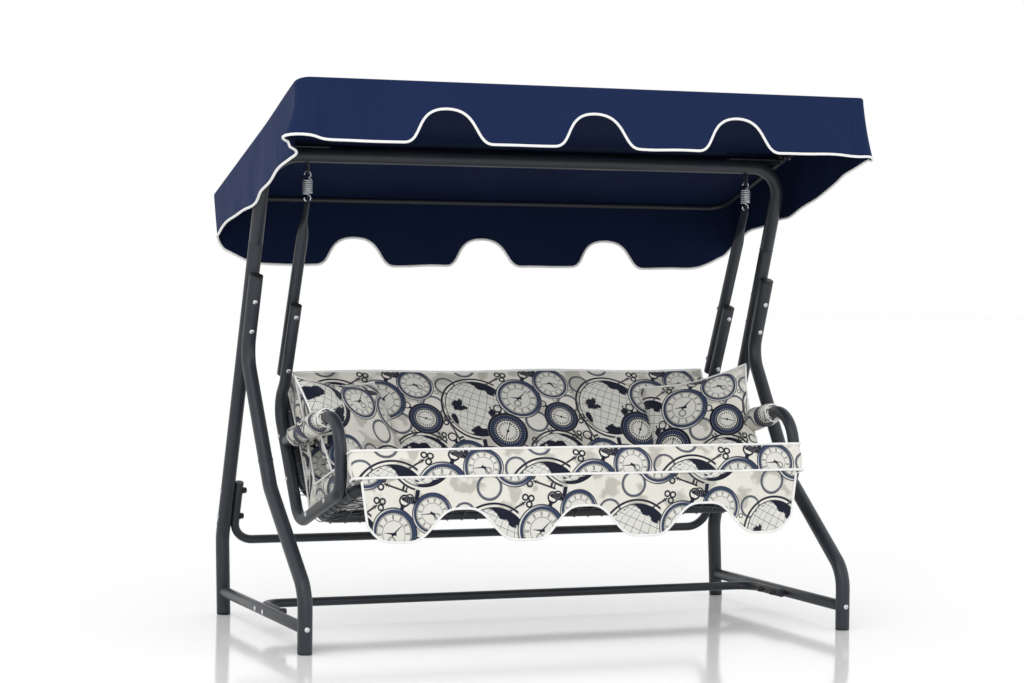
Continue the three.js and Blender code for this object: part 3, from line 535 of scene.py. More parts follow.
def watch_motif():
    """Pocket watch: rim, hour strokes, minute track, hands, small seconds dial, crown and bow."""
    s, given, made, place, x, y, r = motif_tree("watch_motif", "Hands")
    angle = s.math("ARCTAN2", y, x)
    body = s.below(r, 1.0)
    rim = s.band(r, 0.90, 0.100)
    shine = s.band(r, 0.93, 0.025)
    shine = s.both(shine, s.below(s.math("SINE", s.math("ADD", angle, 0.9)), 0.2, 0.5))
    lines = s.either(s.band(r, 0.80, 0.012), s.band(r, 0.50, 0.010), s.band(r, 0.745, 0.008))
    minutes = s.both(s.band(r, 0.772, 0.024), s.below(s.wave(angle, 60), -0.1, 0.3))
    twelfths = s.below(s.wave(angle, 12), -0.62, 0.12)
    hours = s.both(s.band(r, 0.63, 0.090), twelfths, s.below(s.wave(angle, 84), 0.1, 0.3))
    dial_at = s.distance(place, 0.0, -0.27)
    dial_marks = s.both(s.band(dial_at, 0.115, 0.02), s.below(s.wave(angle, 48), 0, 0.3))
    dial = s.either(s.band(dial_at, 0.15, 0.012), dial_marks)

    def hand(turn, length, width):
        along, across = s.turned(x, y, turn)
        taper = s.math("MULTIPLY", s.math("SUBTRACT", length * 1.1, along), width)
        inside = s.below(s.math("SUBTRACT", s.math("ABSOLUTE", across), taper), 0.0, 0.008)
        return s.both(inside, s.band(along, length / 2 - 0.06, length / 2 + 0.06))

    hands = given.outputs["Hands"]
    short_hand = hand(s.math("ADD", hands, 2.3), 0.42, 0.10)
    pointers = s.either(hand(hands, 0.62, 0.055), short_hand, s.below(r, 0.055))
    stem = s.both(s.band(x, 0, 0.085), s.band(y, 1.05, 0.09))
    crown = s.both(s.band(x, 0, 0.13), s.band(y, 1.14, 0.045))
    bow_at = s.distance(place, 0.0, 1.33)
    bow = s.band(bow_at, 0.20, 0.040)
    fittings = s.either(stem, crown, bow)
    drawing = s.both(body, s.either(lines, minutes, hours, dial, pointers))
    ink = s.either(drawing, s.without(s.band(r, 0.985, 0.022), shine), fittings)
    steel = s.without(rim, shine)
    return finish_masks(s, made, ink, steel, s.either(body, fittings))


def cog_motif():
    """Watch with an open toothed ring inside its rim."""
    s, given, made, place, x, y, r = motif_tree("cog_motif", "Hands")
    angle = s.math("ARCTAN2", y, x)
    body = s.below(r, 1.0)
    teeth = s.math("ADD", 0.66, s.math("MULTIPLY", 0.045, s.wave(angle, 40)))
    toothed = s.both(s.below(s.math("SUBTRACT", r, teeth), 0.0), s.below(s.math("SUBTRACT", 0.56, r), 0.0))
    dots = s.both(s.band(r, 0.80, 0.035), s.below(s.wave(angle, 36), 0.0, 0.35))
    strokes = s.both(s.band(r, 0.44, 0.07), s.below(s.wave(angle, 24), -0.3, 0.2))
    along, across = s.turned(x, y, given.outputs["Hands"])
    pointer = s.both(s.band(across, 0, 0.022), s.band(along, 0.08, 0.42))
    ring = s.band(r, 0.93, 0.07)
    bow_at = s.distance(place, 0.0, 1.27)
    bow = s.either(s.band(bow_at, 0.19, 0.04), s.both(s.band(x, 0, 0.09), s.band(y, 1.05, 0.08)))
    ink = s.either(ring, s.both(body, s.either(toothed, dots, strokes, pointer, s.below(r, 0.07))), bow)
    steel = s.both(body, s.band(r, 0.76, 0.10))
    return finish_masks(s, made, ink, steel, s.either(body, bow))


NET_STEP = 0.1309


def globe_motif():
    """Globe with land, a net of lines, a half ring and a turned foot."""
    s, given, made, place, x, y, r = motif_tree("globe_motif", "Seed")
    body = s.below(r, 1.0, 0.006)
    square = s.math("MULTIPLY", r, r)
    z = s.math("SQRT", s.math("MAXIMUM", s.math("SUBTRACT", 1.0, square), 0.0))
    north = s.math("ADD", s.math("MULTIPLY", y, 0.92), s.math("MULTIPLY", x, 0.39))
    east = s.math("SUBTRACT", s.math("MULTIPLY", x, 0.92), s.math("MULTIPLY", y, 0.39))
    longitude = s.math("ARCTAN2", east, z)
    latitude = s.math("ARCSINE", north)
    steps = [s.math("PINGPONG", turn, NET_STEP) for turn in (longitude, latitude)]
    net = s.either(*(s.band(step, 0.0, 0.007, 0.004) for step in steps))
    ball = s.vector("ADD", s.joined(east, north, z), s.joined(given.outputs["Seed"], 0.0, 0.0))
    land = s.math("SUBTRACT", 1.0, s.below(s.noise(ball, 1.5, 5.0, 0.55), 0.53, 0.012))
    arc = s.both(s.band(r, 1.09, 0.035), s.below(east, 0.35, 0.03))
    post = s.both(s.band(x, 0, 0.07), s.band(y, -1.22, 0.14))
    under = s.stretched(s.vector("SUBTRACT", place, (0.0, -1.42, 0.0)), 1.0, 4.2)
    foot = s.below(s.vector("LENGTH", under), 0.48)
    fittings = s.either(arc, post, foot)
    rim = s.math("SUBTRACT", 0.90, s.math("ADD", r, s.math("MULTIPLY", x, 0.08)))
    shadow = s.both(body, s.below(rim, 0.0), s.below(s.math("SUBTRACT", 0.0, x), 0.1, 0.1))
    ink = s.either(s.both(body, s.either(s.band(r, 0.985, 0.018), land, shadow)), fittings)
    steel = s.both(body, net)
    return finish_masks(s, made, ink, steel, s.either(body, fittings))


def key_motif():
    """Old key: three-leaved bow, collar, shank and bit."""
    s, _, made, place, x, y, _ = motif_tree("key_motif")
    leaves = []
    for leaf_x, leaf_y in ((0.84, 0.0), (0.58, 0.21), (0.58, -0.21)):
        reach = s.distance(place, leaf_x, leaf_y)
        leaves.append(s.band(reach, 0.145, 0.050, 0.02))
    shank = s.both(s.band(y, 0, 0.050, 0.02), s.band(x, -0.22, 0.68, 0.02))
    two_rings = s.either(s.band(x, 0.30, 0.035, 0.02), s.band(x, 0.18, 0.02, 0.02))
    collars = s.both(s.band(y, 0, 0.105, 0.02), two_rings)
    two_teeth = s.either(s.band(x, -0.80, 0.045, 0.02), s.band(x, -0.62, 0.065, 0.02))
    bit = s.both(s.band(y, -0.17, 0.15, 0.02), two_teeth)
    whole = s.either(*leaves, shank, collars, bit)
    return finish_masks(s, made, whole, s.math("MULTIPLY", whole, 0.0), whole)


def ring_motif():
    """Thin case ring with a small bow."""
    s, _, made, place, _, _, r = motif_tree("ring_motif")
    bow_at = s.distance(place, 0.0, 1.2)
    two_lines = s.band(r, 0.94, 0.035, 0.02), s.band(r, 0.76, 0.015, 0.02)
    ink = s.either(*two_lines, s.band(bow_at, 0.17, 0.04, 0.02))
    steel = s.band(r, 0.85, 0.06, 0.02)
    return finish_masks(s, made, ink, steel, s.either(ink, steel))


def weave_group():
    """Plain weave from cloth coordinates: thread height and a light and dark mask."""
    inputs, outputs = [("Cloth", VECTOR), ("Pitch", FLOAT)], [("Height", FLOAT), ("Shade", FLOAT)]
    tree, given, made = group_tree("plain_weave", inputs, outputs)
    s = Sums(tree)
    per_metre = s.math("DIVIDE", math.pi, given.outputs["Pitch"])
    thread = s.vector("SCALE", given.outputs["Cloth"], scale=per_metre)
    x, y, _ = s.parts(thread)
    warp = s.math("ABSOLUTE", s.math("SINE", x))
    weft = s.math("ABSOLUTE", s.math("SINE", y))
    column, row = (s.math("FLOOR", s.math("DIVIDE", way, math.pi)) for way in (x, y))
    over = s.math("ABSOLUTE", s.math("SINE", s.math("MULTIPLY", s.math("ADD", column, row), math.pi / 2)))
    height = s.math("ADD", s.math("MULTIPLY", warp, over), s.without(weft, over))
    slub = s.noise(s.stretched(given.outputs["Cloth"], 1.0, 14.0), 60.0, 2.0)
    tree.links.new(height, made.inputs["Height"])
    tree.links.new(slub, made.inputs["Shade"])
    return tree


def cloth_coordinates(s):
    node = s.tree.nodes.new("ShaderNodeUVMap")
    node.uv_map = "cloth"
    return node.outputs[0]


def object_place(s):
    return s.tree.nodes.new("ShaderNodeTexCoord").outputs["Object"]


def printed_cloth(name):
    """Cream cotton printed in navy and steel blue, all from the masks above."""
    material, s, shader = tree_of(name)
    cloth = cloth_coordinates(s)
    blot = s.below(s.noise(cloth, 12.0, 2.0, 0.5), 0.45, 0.03)
    colour = s.mix(blot, (0.74, 0.72, 0.655, 1), (0.50, 0.485, 0.43, 1))
    navy, steel_blue, face = (0.006, 0.008, 0.022, 1), (0.030, 0.046, 0.098, 1), (0.70, 0.69, 0.64, 1)
    layers = [
        ("ring", (0.336, 0.285), 0.046, 0.4, None), ("ring", (0.025, 0.442), 0.040, 2.2, None),
        ("ring", (0.297, 0.149), 0.038, 4.0, None), ("ring", (0.111, 0.017), 0.046, 5.2, None),
        ("ring", (0.472, 0.357), 0.042, 1.2, None),
        ("key", (0.208, 0.463), 0.062, 0.5, None), ("key", (0.348, 0.217), 0.060, 3.7, None),
        ("key", (0.017, 0.255), 0.060, 1.9, None), ("key", (0.289, 0.025), 0.062, 2.8, None),
        ("key", (0.459, 0.255), 0.055, 5.3, None),
        ("globe", (0.123, 0.344), 0.119, 0.0, 0.0), ("globe", (0.399, 0.128), 0.108, 6.1, 3.7),
        ("watch", (0.289, 0.383), 0.086, 5.9, 1.1), ("watch", (0.055, 0.136), 0.077, 0.5, 0.4),
        ("watch", (0.425, 0.446), 0.068, 1.0, 2.2), ("cog", (0.217, 0.246), 0.075, 0.2, 0.9),
        ("watch", (0.200, 0.093), 0.079, 5.6, 2.9), ("cog", (0.433, 0.302), 0.064, 0.8, 2.0),
    ]
    extra_input = {"watch": "Hands", "cog": "Hands", "globe": "Seed"}
    for kind, (across, along), radius, turn, extra in layers:
        where = {"Cloth": cloth, "Centre": (across, along, 0.0), "Radius": radius, "Turn": turn}
        values = {"Place": use_group(s, GROUPS["place"], where).outputs[0]}
        if kind in extra_input:
            values[extra_input[kind]] = extra
        masks = use_group(s, GROUPS[kind], values).outputs
        ground = navy if kind == "key" else s.mix(masks["Steel"], face, steel_blue)
        colour = s.mix(masks["Cover"], colour, s.mix(masks["Ink"], ground, navy))
    weave = use_group(s, GROUPS["weave"], {"Cloth": cloth, "Pitch": 0.0011}).outputs
    fade = s.math("MULTIPLY_ADD", s.noise(cloth, 9.0, 3.0), 0.16, 0.90)
    grain = s.math("MULTIPLY_ADD", weave["Shade"], 0.20, 0.90)
    creases = s.noise(s.stretched(cloth, 1.0, 1.6), 7.0, 3.0, 0.55)
    set_inputs(s, shader, {
        "Base Color": s.vector("SCALE", colour, scale=s.math("MULTIPLY", fade, grain)),
        "Normal": s.bump(weave["Height"], 0.0003, 0.4, s.bump(creases, 0.012, 0.35)),
        "Roughness": 0.86,
        "Sheen Weight": 0.18,
        "Sheen Roughness": 0.5,
        "Specular IOR Level": 0.2,
    })
    return material


def canopy_cloth(name, dark, light, sheen, gloss):
    """Dyed polyester: fine weave, faint crossing slubs, a lighter bloom where it is stretched."""
    material, s, shader = tree_of(name)
    cloth = cloth_coordinates(s)
    weave = use_group(s, GROUPS["weave"], {"Cloth": cloth, "Pitch": 0.0016}).outputs
    patches = s.noise(cloth, 3.2, 4.0, 0.6)
    streaks = s.noise(s.stretched(cloth, 30.0, 1.0), 5.0, 2.0)
    tone = s.math("ADD", s.math("MULTIPLY", patches, 0.35), s.math("MULTIPLY", streaks, 0.25))
    colour = s.mix(tone, (*dark, 1), (*light, 1))
    grain = s.math("MULTIPLY_ADD", weave["Shade"], 0.35, 0.82)
    pucker = s.noise(s.stretched(cloth, 2.2, 0.8), 4.0, 3.0, 0.5)
    set_inputs(s, shader, {
        "Base Color": s.vector("SCALE", colour, scale=grain),
        "Normal": s.bump(weave["Height"], 0.0003, 0.35, s.bump(pucker, 0.02, 0.30)),
        "Roughness": 0.72,
        "Sheen Weight": sheen,
        "Sheen Tint": (0.35, 0.42, 0.75, 1),
        "Specular IOR Level": gloss,
    })
    return material


def powder_coat(name):
    """Satin anthracite paint with the coat's fine orange peel and rubbed edges."""
    material, s, shader = tree_of(name)
    place = object_place(s)
    peel = s.noise(place, 420.0, 2.0)
    mottle = s.noise(place, 6.0, 4.0, 0.6)
    colour = s.mix(mottle, (0.016, 0.020, 0.026, 1), (0.028, 0.034, 0.042, 1))
    worn = s.math("SUBTRACT", 1.0, s.below(s.noise(place, 95.0, 5.0, 0.7), 0.70, 0.02))
    set_inputs(s, shader, {
        "Base Color": s.mix(s.math("MULTIPLY", worn, 0.25), colour, (0.11, 0.12, 0.13, 1)),
        "Roughness": s.math("MULTIPLY_ADD", mottle, 0.14, 0.30),
        "Normal": s.bump(peel, 0.0003, 0.30),
        "Specular IOR Level": 0.36,
    })
    return material


def metal(name, dark, light, roughness, scratch):
    """Plated steel, clouded, with fine scratches one way."""
    material, s, shader = tree_of(name)
    place = object_place(s)
    cloud = s.noise(place, 60.0, 4.0, 0.65)
    fine = s.noise(s.stretched(place, 1.0, 1.0, 9.0), 300.0, 3.0)
    set_inputs(s, shader, {
        "Base Color": s.mix(cloud, (*dark, 1), (*light, 1)),
        "Roughness": s.math("MULTIPLY_ADD", fine, scratch, roughness),
        "Normal": s.bump(fine, 0.0002, 0.25),
        "Metallic": 1.0,
    })
    return material


def moulded_plastic(name):
    """Black plastic with a fine grain."""
    material, s, shader = tree_of(name)
    place = object_place(s)
    cloud = s.noise(place, 18.0, 3.0)
    set_inputs(s, shader, {
        "Base Color": s.mix(cloud, (0.008, 0.008, 0.009, 1), (0.018, 0.018, 0.020, 1)),
        "Roughness": s.math("MULTIPLY_ADD", cloud, 0.16, 0.36),
        "Normal": s.bump(s.noise(place, 900.0, 2.0), 0.0002, 0.35),
    })
    return material


def piping_tape(name):
    """White bias tape: twill ribs along it, slightly grubby in places."""
    material, s, shader = tree_of(name)
    place = object_place(s)
    x, y, z = s.parts(place)
    ribs = s.math("SINE", s.math("MULTIPLY", s.math("ADD", x, s.math("ADD", y, z)), 2600.0))
    cloud = s.noise(place, 25.0, 3.0)
    set_inputs(s, shader, {
        "Base Color": s.mix(cloud, (0.78, 0.78, 0.77, 1), (0.90, 0.90, 0.89, 1)),
        "Normal": s.bump(ribs, 0.0002, 0.3),
        "Roughness": 0.7,
        "Sheen Weight": 0.2,
    })
    return material


GROUPS.update(place=motif_place(), watch=watch_motif(), cog=cog_motif(), globe=globe_motif())
GROUPS.update(key=key_motif(), ring=ring_motif(), weave=weave_group())
POWDER_COAT = powder_coat("anthracite_powder_coat")
ZINC = metal("bright_zinc_plate", (0.50, 0.51, 0.54), (0.68, 0.69, 0.72), 0.22, 0.14)
BLACK_PLASTIC = moulded_plastic("black_moulded_plastic")
navy_dark, navy_light = (0.0055, 0.0135, 0.050), (0.0125, 0.0270, 0.096)
NAVY = canopy_cloth("navy_canopy_cloth", navy_dark, navy_light, 0.10, 0.10)
# Darker copy of the navy canopy cloth, with no sheen and less gloss, for the cover's underside: painted shade.
painted_shade_dark, painted_shade_light = (0.0048, 0.0100, 0.030), (0.0095, 0.0190, 0.058)
NAVY_PAINTED_SHADE = canopy_cloth("navy_canopy_painted_shade", painted_shade_dark, painted_shade_light, 0.0, 0.04)
WHITE_TRIM = piping_tape("white_piping_tape")
PRINT = printed_cloth("printed_cushion_cloth")
GALVANISED = metal("galvanised_wire", (0.10, 0.105, 0.11), (0.19, 0.195, 0.205), 0.38, 0.16)


# ------------------------------------------------------------------ stand
def make_stand():
    end_y = on_rear_leg(JOINT_Z).y
    bar = bent_line(
        [(-LEG_X, end_y, JOINT_Z), (-LEG_X, 0, TOP_BAR_Z), (LEG_X, 0, TOP_BAR_Z), (LEG_X, end_y, JOINT_Z)],
        [LEG_BEND, LEG_BEND],
    )
    painted_tube("top_bar_tube", bar, LEG_R, "stand", "top_bar", sides=48)

    x = LEG_X - LEG_R - STRETCHER_R - GAP
    rear = bent_line(
        [
            on_rear_leg(REAR_STRETCHER_TOP_Z, -x),
            on_rear_leg(REAR_STRETCHER_Z, -x),
            on_rear_leg(REAR_STRETCHER_Z, x),
            on_rear_leg(REAR_STRETCHER_TOP_Z, x),
        ],
        [STRETCHER_BEND, STRETCHER_BEND],
    )
    painted_tube("rear_stretcher_tube", rear, STRETCHER_R, "stand", "rear_stretcher")

    x = LEG_X - RAIL_R - STRETCHER_R - GAP
    lower = bent_line(
        [
            (-x, LOWER_STRETCHER_END_Y, RAIL_Z),
            (-x, LOWER_STRETCHER_Y, RAIL_Z),
            (x, LOWER_STRETCHER_Y, RAIL_Z),
            (x, LOWER_STRETCHER_END_Y, RAIL_Z),
        ],
        [STRETCHER_BEND, STRETCHER_BEND],
    )
    painted_tube("lower_stretcher_tube", lower, STRETCHER_R, "stand", "lower_stretcher")

    for label, side in SIDES:
        x = side * LEG_X
        start = on_rear_leg(JOINT_Z, x) - LEG_UP * GAP
        foot_z = CAP_LIP + GAP
        knee = on_rear_leg(REAR_KNEE_Z, x)
        foot = Vector((x, REAR_FOOT_Y, 0))
        foot = foot.lerp(knee, foot_z / knee.z)
        nodes = f"rear_leg_{label}", f"joint_spigot_{label}"
        line = bent_line([start, knee, foot], [LEG_BEND])
        painted_tube(f"rear_leg_tube_{label}", line, LEG_R, "stand", *nodes, sides=48)

        corners = [
            on_stub(STUB_TOP_Z, x) - LEG_UP * (CAP_LIP + GAP),
            on_stub(STUB_KNEE_Z, x),
            in_plane(SHIN_KNEE, x),
            Vector((x, FRONT_FOOT_Y, ANKLE_Z)),
            Vector((x, FRONT_FOOT_Y, foot_z)),
        ]
        line = bent_line(corners, [LEG_BEND] * 3)
        painted_tube(f"front_leg_tube_{label}", line, LEG_R, "stand", f"front_leg_{label}", sides=48)

        low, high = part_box(f"side_rail_{label}")
        line = [(x, low.y, RAIL_Z), (x, high.y, RAIL_Z)]
        painted_tube(f"side_rail_tube_{label}", line, RAIL_R, "stand", f"side_rail_{label}")


def cap(name, seat, outward, radius, dome, body, node):
    """Moulded plug with a domed flange. seat is the middle of the tube's end."""
    plug = radius - 0.0036
    profile = [
        (0, -0.010), (plug, -0.010), (plug, 0), (radius - 0.0002, 0), (radius, 0.0006),
        (radius, dome * 0.4), (radius * 0.97, dome * 0.66), (radius * 0.86, dome * 0.86),
        (radius * 0.6, dome), (0, dome),
    ]
    finish_piece(lathe(name, profile, seat, outward, BLACK_PLASTIC, sides=48), body, "plastic", node)


def bolt(name, centre, direction, grip, body, *nodes, head=0.004, nut=True):
    """Carriage bolt along direction, its domed head at the start and a round plastic nut at the end."""
    direction = unit(direction)
    start = Vector(centre) - direction * (grip / 2)
    reach = 0.0085
    profile = [(0, -head)] + [
        (reach * math.sin(a), -0.0006 - (head - 0.0006) * math.cos(a)) for a in np.linspace(0.2, 1.5, 7)
    ]
    shank, length = 0.004, grip + 0.004
    profile += [(reach + 0.0002, -0.0003), (reach, 0), (shank, 0.0001), (shank, length), (0, length)]
    finish_piece(lathe(f"{name}_shank", profile, start, direction, ZINC), body, "zinc", *nodes)
    if nut:
        profile = [
            (0, 0.0001), (0.0118, 0.0001), (0.0118, 0.0018), (0.0106, 0.0024), (0.0106, 0.0082),
            (0.0100, 0.0110), (0.0080, 0.0130), (0.0045, 0.0142), (0, 0.0146),
        ]
        piece = lathe(f"{name}_nut", profile, start + direction * grip, direction, BLACK_PLASTIC)
        finish_piece(piece, body, "plastic")


def make_stand_fittings():
    for label, side in SIDES:
        x = side * LEG_X
        outward = Vector((side, 0, 0))
        top = on_stub(STUB_TOP_Z, x) - LEG_UP * CAP_LIP
        cap(f"stub_plug_{label}", top, LEG_UP, LEG_R, 0.007, "stand", f"front_leg_cap_{label}")
        for end, y in (("front", FRONT_FOOT_Y), ("rear", REAR_FOOT_Y)):
            seat = (x, y, CAP_LIP)
            node = f"foot_cap_{end}_{label}"
            cap(f"foot_plug_{end}_{label}", seat, (0, 0, -1), LEG_R, CAP_LIP, "stand", node)
        for i, z in enumerate(LEG_BOLTS_Z, 1):
            name = f"leg_bolt_{i}_{label}"
            centre = on_stub(z, x) + LEG_ACROSS * (LEG_R + GAP / 2)
            bolt(name, centre, LEG_ACROSS, 4 * LEG_R + GAP, "stand", name)
        for i, z in enumerate(REAR_BOLTS_Z, 1):
            name = f"stretcher_bolt_{i}_{label}"
            grip = 2 * (LEG_R + STRETCHER_R) + GAP
            centre = on_rear_leg(z, x) - outward * (grip / 2 - LEG_R)
            bolt(name, centre, -outward, grip, "stand", name)
        for i, y in enumerate(LOWER_BOLTS_Y, 1):
            grip = 2 * (RAIL_R + STRETCHER_R) + GAP
            centre = Vector((x, y, RAIL_Z)) - outward * (grip / 2 - RAIL_R)
            bolt(f"rail_bolt_{i}_{label}", centre, -outward, grip, "stand")
        grip = 2 * LEG_R + 0.020
        centre = (x, FRONT_FOOT_Y - LEG_R + grip / 2, RAIL_Z)
        bolt(f"foot_bolt_{label}", centre, (0, 1, 0), grip, "stand", f"foot_bolt_{label}", nut=False)

        ring = [
            (LEG_R - 0.001, -0.004), (LEG_R + 0.0007, -0.0034), (LEG_R + 0.0011, -0.0015),
            (LEG_R + 0.0011, 0.0008), (LEG_R + 0.0005, 0.0016), (LEG_R - 0.001, 0.0018),
        ]
        knee, shin = on_stub(STUB_KNEE_Z, x), in_plane(SHIN_KNEE, x)
        for name, seat, along in (
            ("joint_ring", on_rear_leg(JOINT_Z, x), LEG_UP),
            ("front_leg_joint", shin.lerp(knee, 0.20), unit(knee - shin)),
            ("rear_leg_joint", on_rear_leg(REAR_KNEE_Z + 0.045, x), LEG_UP),
        ):
            collar = lathe(f"{name}_{label}", ring, seat, along, POWDER_COAT, 48)
            finish_piece(collar, "stand", "powder_coat")

        grip = CANOPY_RAIL_X + CANOPY_TUBE_R - BRACKET_X + 0.002
        centre = (side * (CANOPY_RAIL_X + CANOPY_TUBE_R - grip / 2), 0, CANOPY_AXIS_Z)
        bolt(f"pivot_bolt_{label}", centre, -outward, grip, "stand", f"canopy_pivot_{label}", head=0.003)

        for node in (f"spring_eye_{label}", f"canopy_bracket_{label}"):
            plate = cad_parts[node]
            plate.data.materials.clear()
            plate.data.materials.append(POWDER_COAT)
            softened = plate.modifiers.new("softened_edges", "BEVEL")
            softened.width = 0.0008
            softened.segments = 2


def make_springs():
    """Close coil with a hook at each end, the upper on the stand and the lower through the hanger."""
    middle, hook_r, coil_r, coil_half = (SWING_Z + HOOK_Z) / 2, 0.011, 0.0155, 0.0258
    turns, turn_points = 8, 28
    for label, side in SIDES:
        x = side * HANGER_X
        hook = []
        for k in range(29):
            angle = math.radians(190 - 10 * k)
            z = (SWING_Z - HOOK_Z) / 2 - hook_r + hook_r * math.sin(angle)
            hook.append((hook_r * math.cos(angle), 0, z))
        coil = []
        last = turns * turn_points
        for k in range(last + 1):
            angle = -math.pi / 2 + 2 * math.pi * k / turn_points
            settle = min(1, k / 12, (last - k) / 12)
            radius = coil_r * (0.35 + 0.65 * math.sin(settle * math.pi / 2))
            height = coil_half - 2 * coil_half * k / last
            coil.append((radius * math.cos(angle), radius * math.sin(angle), height))
        lower = [(a, b, -c) for a, b, c in reversed(hook)]
        path = [Vector((x + a, b, middle + c)) for a, b, c in hook + coil + lower]
        piece = tube(f"coil_spring_{label}", path, 0.0023, ZINC, sides=12)
        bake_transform(piece)
        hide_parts(f"spring_{label}")


# ------------------------------------------------------------------ seat steelwork
def arm_length():
    across = BACK_ALONG.y * ARM_ALONG.z - BACK_ALONG.z * ARM_ALONG.y
    arm, heel = in_plane(ARM_FRONT), in_plane(HOOP_HEEL)
    reach = (BACK_ALONG.y * (heel.z - arm.z) - BACK_ALONG.z * (heel.y - arm.y)) / across
    lean = abs(BACK_ALONG.dot(ARM_ALONG))
    return reach - (SEAT_R + 0.0015 + SEAT_R * lean) / abs(across)


def hoop_line(x):
    front = on_seat((SEAT_REAR_BAR[0] - HOOP_FRONT_Y) / math.cos(SEAT_SLOPE), x)
    arm = in_plane(ARM_FRONT, x)
    corners = [
        on_hoop_stub(HOOP_TOP_Z, x) - HANGER_UP * (CAP_LIP + GAP),
        on_hoop_stub(HOOP_SHOULDER_Z, x),
        in_plane(HOOP_BACK, x),
        in_plane(HOOP_HEEL, x),
        front,
        arm,
        arm + ARM_ALONG * arm_length(),
    ]
    return bent_line(corners, [HOOP_BEND] * 3 + [HOOP_BEND * 0.8, ARM_BEND])


def make_hanger(label, x):
    """Tube whose upper end is pressed flat for the spring's hook."""
    length = (HOOK_Z - HANGER_END_Z) / math.cos(HANGER_LEAN)
    tip = 0.014
    along = [-length, -length + 0.0006, -length + 0.0016] + list(np.linspace(-length + 0.02, -0.14, 12))
    along += list(np.linspace(-0.13, -0.03, 16)) + [-0.015, 0, 0.006, 0.0105, 0.013, tip]
    points = [Vector((x, 0, HOOK_Z)) + HANGER_UP * d for d in along]

    def section(i, share):
        d = along[i]
        press = smooth((d + 0.13) / 0.09)
        half_x = SEAT_R + (0.0035 - SEAT_R) * press
        half_y = SEAT_R * (1 + 0.25 * press)
        if d > 0:
            half_y *= math.sqrt(max(0.02, 1 - (d / (tip * 1.02)) ** 2))
        if i < 2:
            half_x, half_y = half_x - 0.0008 * (2 - i), half_y - 0.0008 * (2 - i)
        power = 1 - 0.45 * press
        ring = []
        for k in range(40):
            angle = 2 * math.pi * k / 40
            c, s = math.cos(angle), math.sin(angle)
            wide, deep = math.copysign(abs(c) ** power, c), math.copysign(abs(s) ** power, s)
            ring.append((half_x * wide, half_y * deep))
        return ring

    verts, faces = skin(sweep(points, section))
    piece = new_piece(f"hanger_tube_{label}", verts, faces, POWDER_COAT)
    finish_piece(piece, "seat", "powder_coat", f"hanger_{label}")


def loop_line(half_width, start, end, place):
    """Rounded rectangle between two distances along the frame, begun in the middle of its first side."""
    w = half_width
    corners = [(0, start), (w, start), (w, end), (-w, end), (-w, start), (0, start)]
    return bent_line([place(d, x) for x, d in corners], [FRAME_BEND] * 4)[:-1]


WIRE_R = 0.0016
WIRE_PITCH = 0.052
WIRE_WAVE = 0.0017


def make_wires(name, half_width, start, end, place, out, wrap, node):
    """Woven wires with each end hooked round the frame's tube."""
    verts, faces = [], []
    section = circle(WIRE_R, 8)
    hook_r = wrap + WIRE_R + 0.0002
    pitch = WIRE_PITCH

    def lay(points):
        more_verts, more_faces = skin(sweep(points, lambda i, s: section))
        first = len(verts)
        verts.extend(more_verts)
        faces.extend(tuple(first + v for v in face) for face in more_faces)

    def wire(at, reach, wave):
        # at(distance, height) gives the place. The hooks close over the tubes at +reach and -reach.
        def curl(sign):
            turns = np.linspace(math.radians(200), 0, 14)
            return [(sign * (reach + hook_r * math.sin(t)), hook_r * math.cos(t)) for t in turns]

        stations = np.linspace(-reach * 0.97, reach * 0.97, 60)
        flat = [(d, hook_r * (abs(d) / reach) ** 8 + wave(d)) for d in stations]
        line = curl(-1) + flat + list(reversed(curl(1)))
        lay([at(d, h) for d, h in line])

    def weaving(sign, first):
        return lambda d: sign * WIRE_WAVE * math.cos(math.pi * (d - first) / pitch)

    columns = int(2 * (half_width - 0.03) / pitch)
    rows = int((end - start - 0.05) / pitch)
    middle, reach = (start + end) / 2, (end - start) / 2
    column_at = [(i - columns / 2) * pitch for i in range(columns + 1)]
    row_at = [middle + (j - rows / 2) * pitch for j in range(rows + 1)]
    for i, x in enumerate(column_at):
        wave = weaving(1 if i % 2 else -1, row_at[0] - middle)
        wire(lambda d, h: place(middle + d, x) + out * h, reach, wave)
    for j, row in enumerate(row_at):
        wave = weaving(-1 if j % 2 else 1, column_at[0])
        wire(lambda d, h: place(row, d) + out * h, half_width, wave)
    finish_piece(new_piece(name, verts, faces, GALVANISED), "seat", "wire", node)


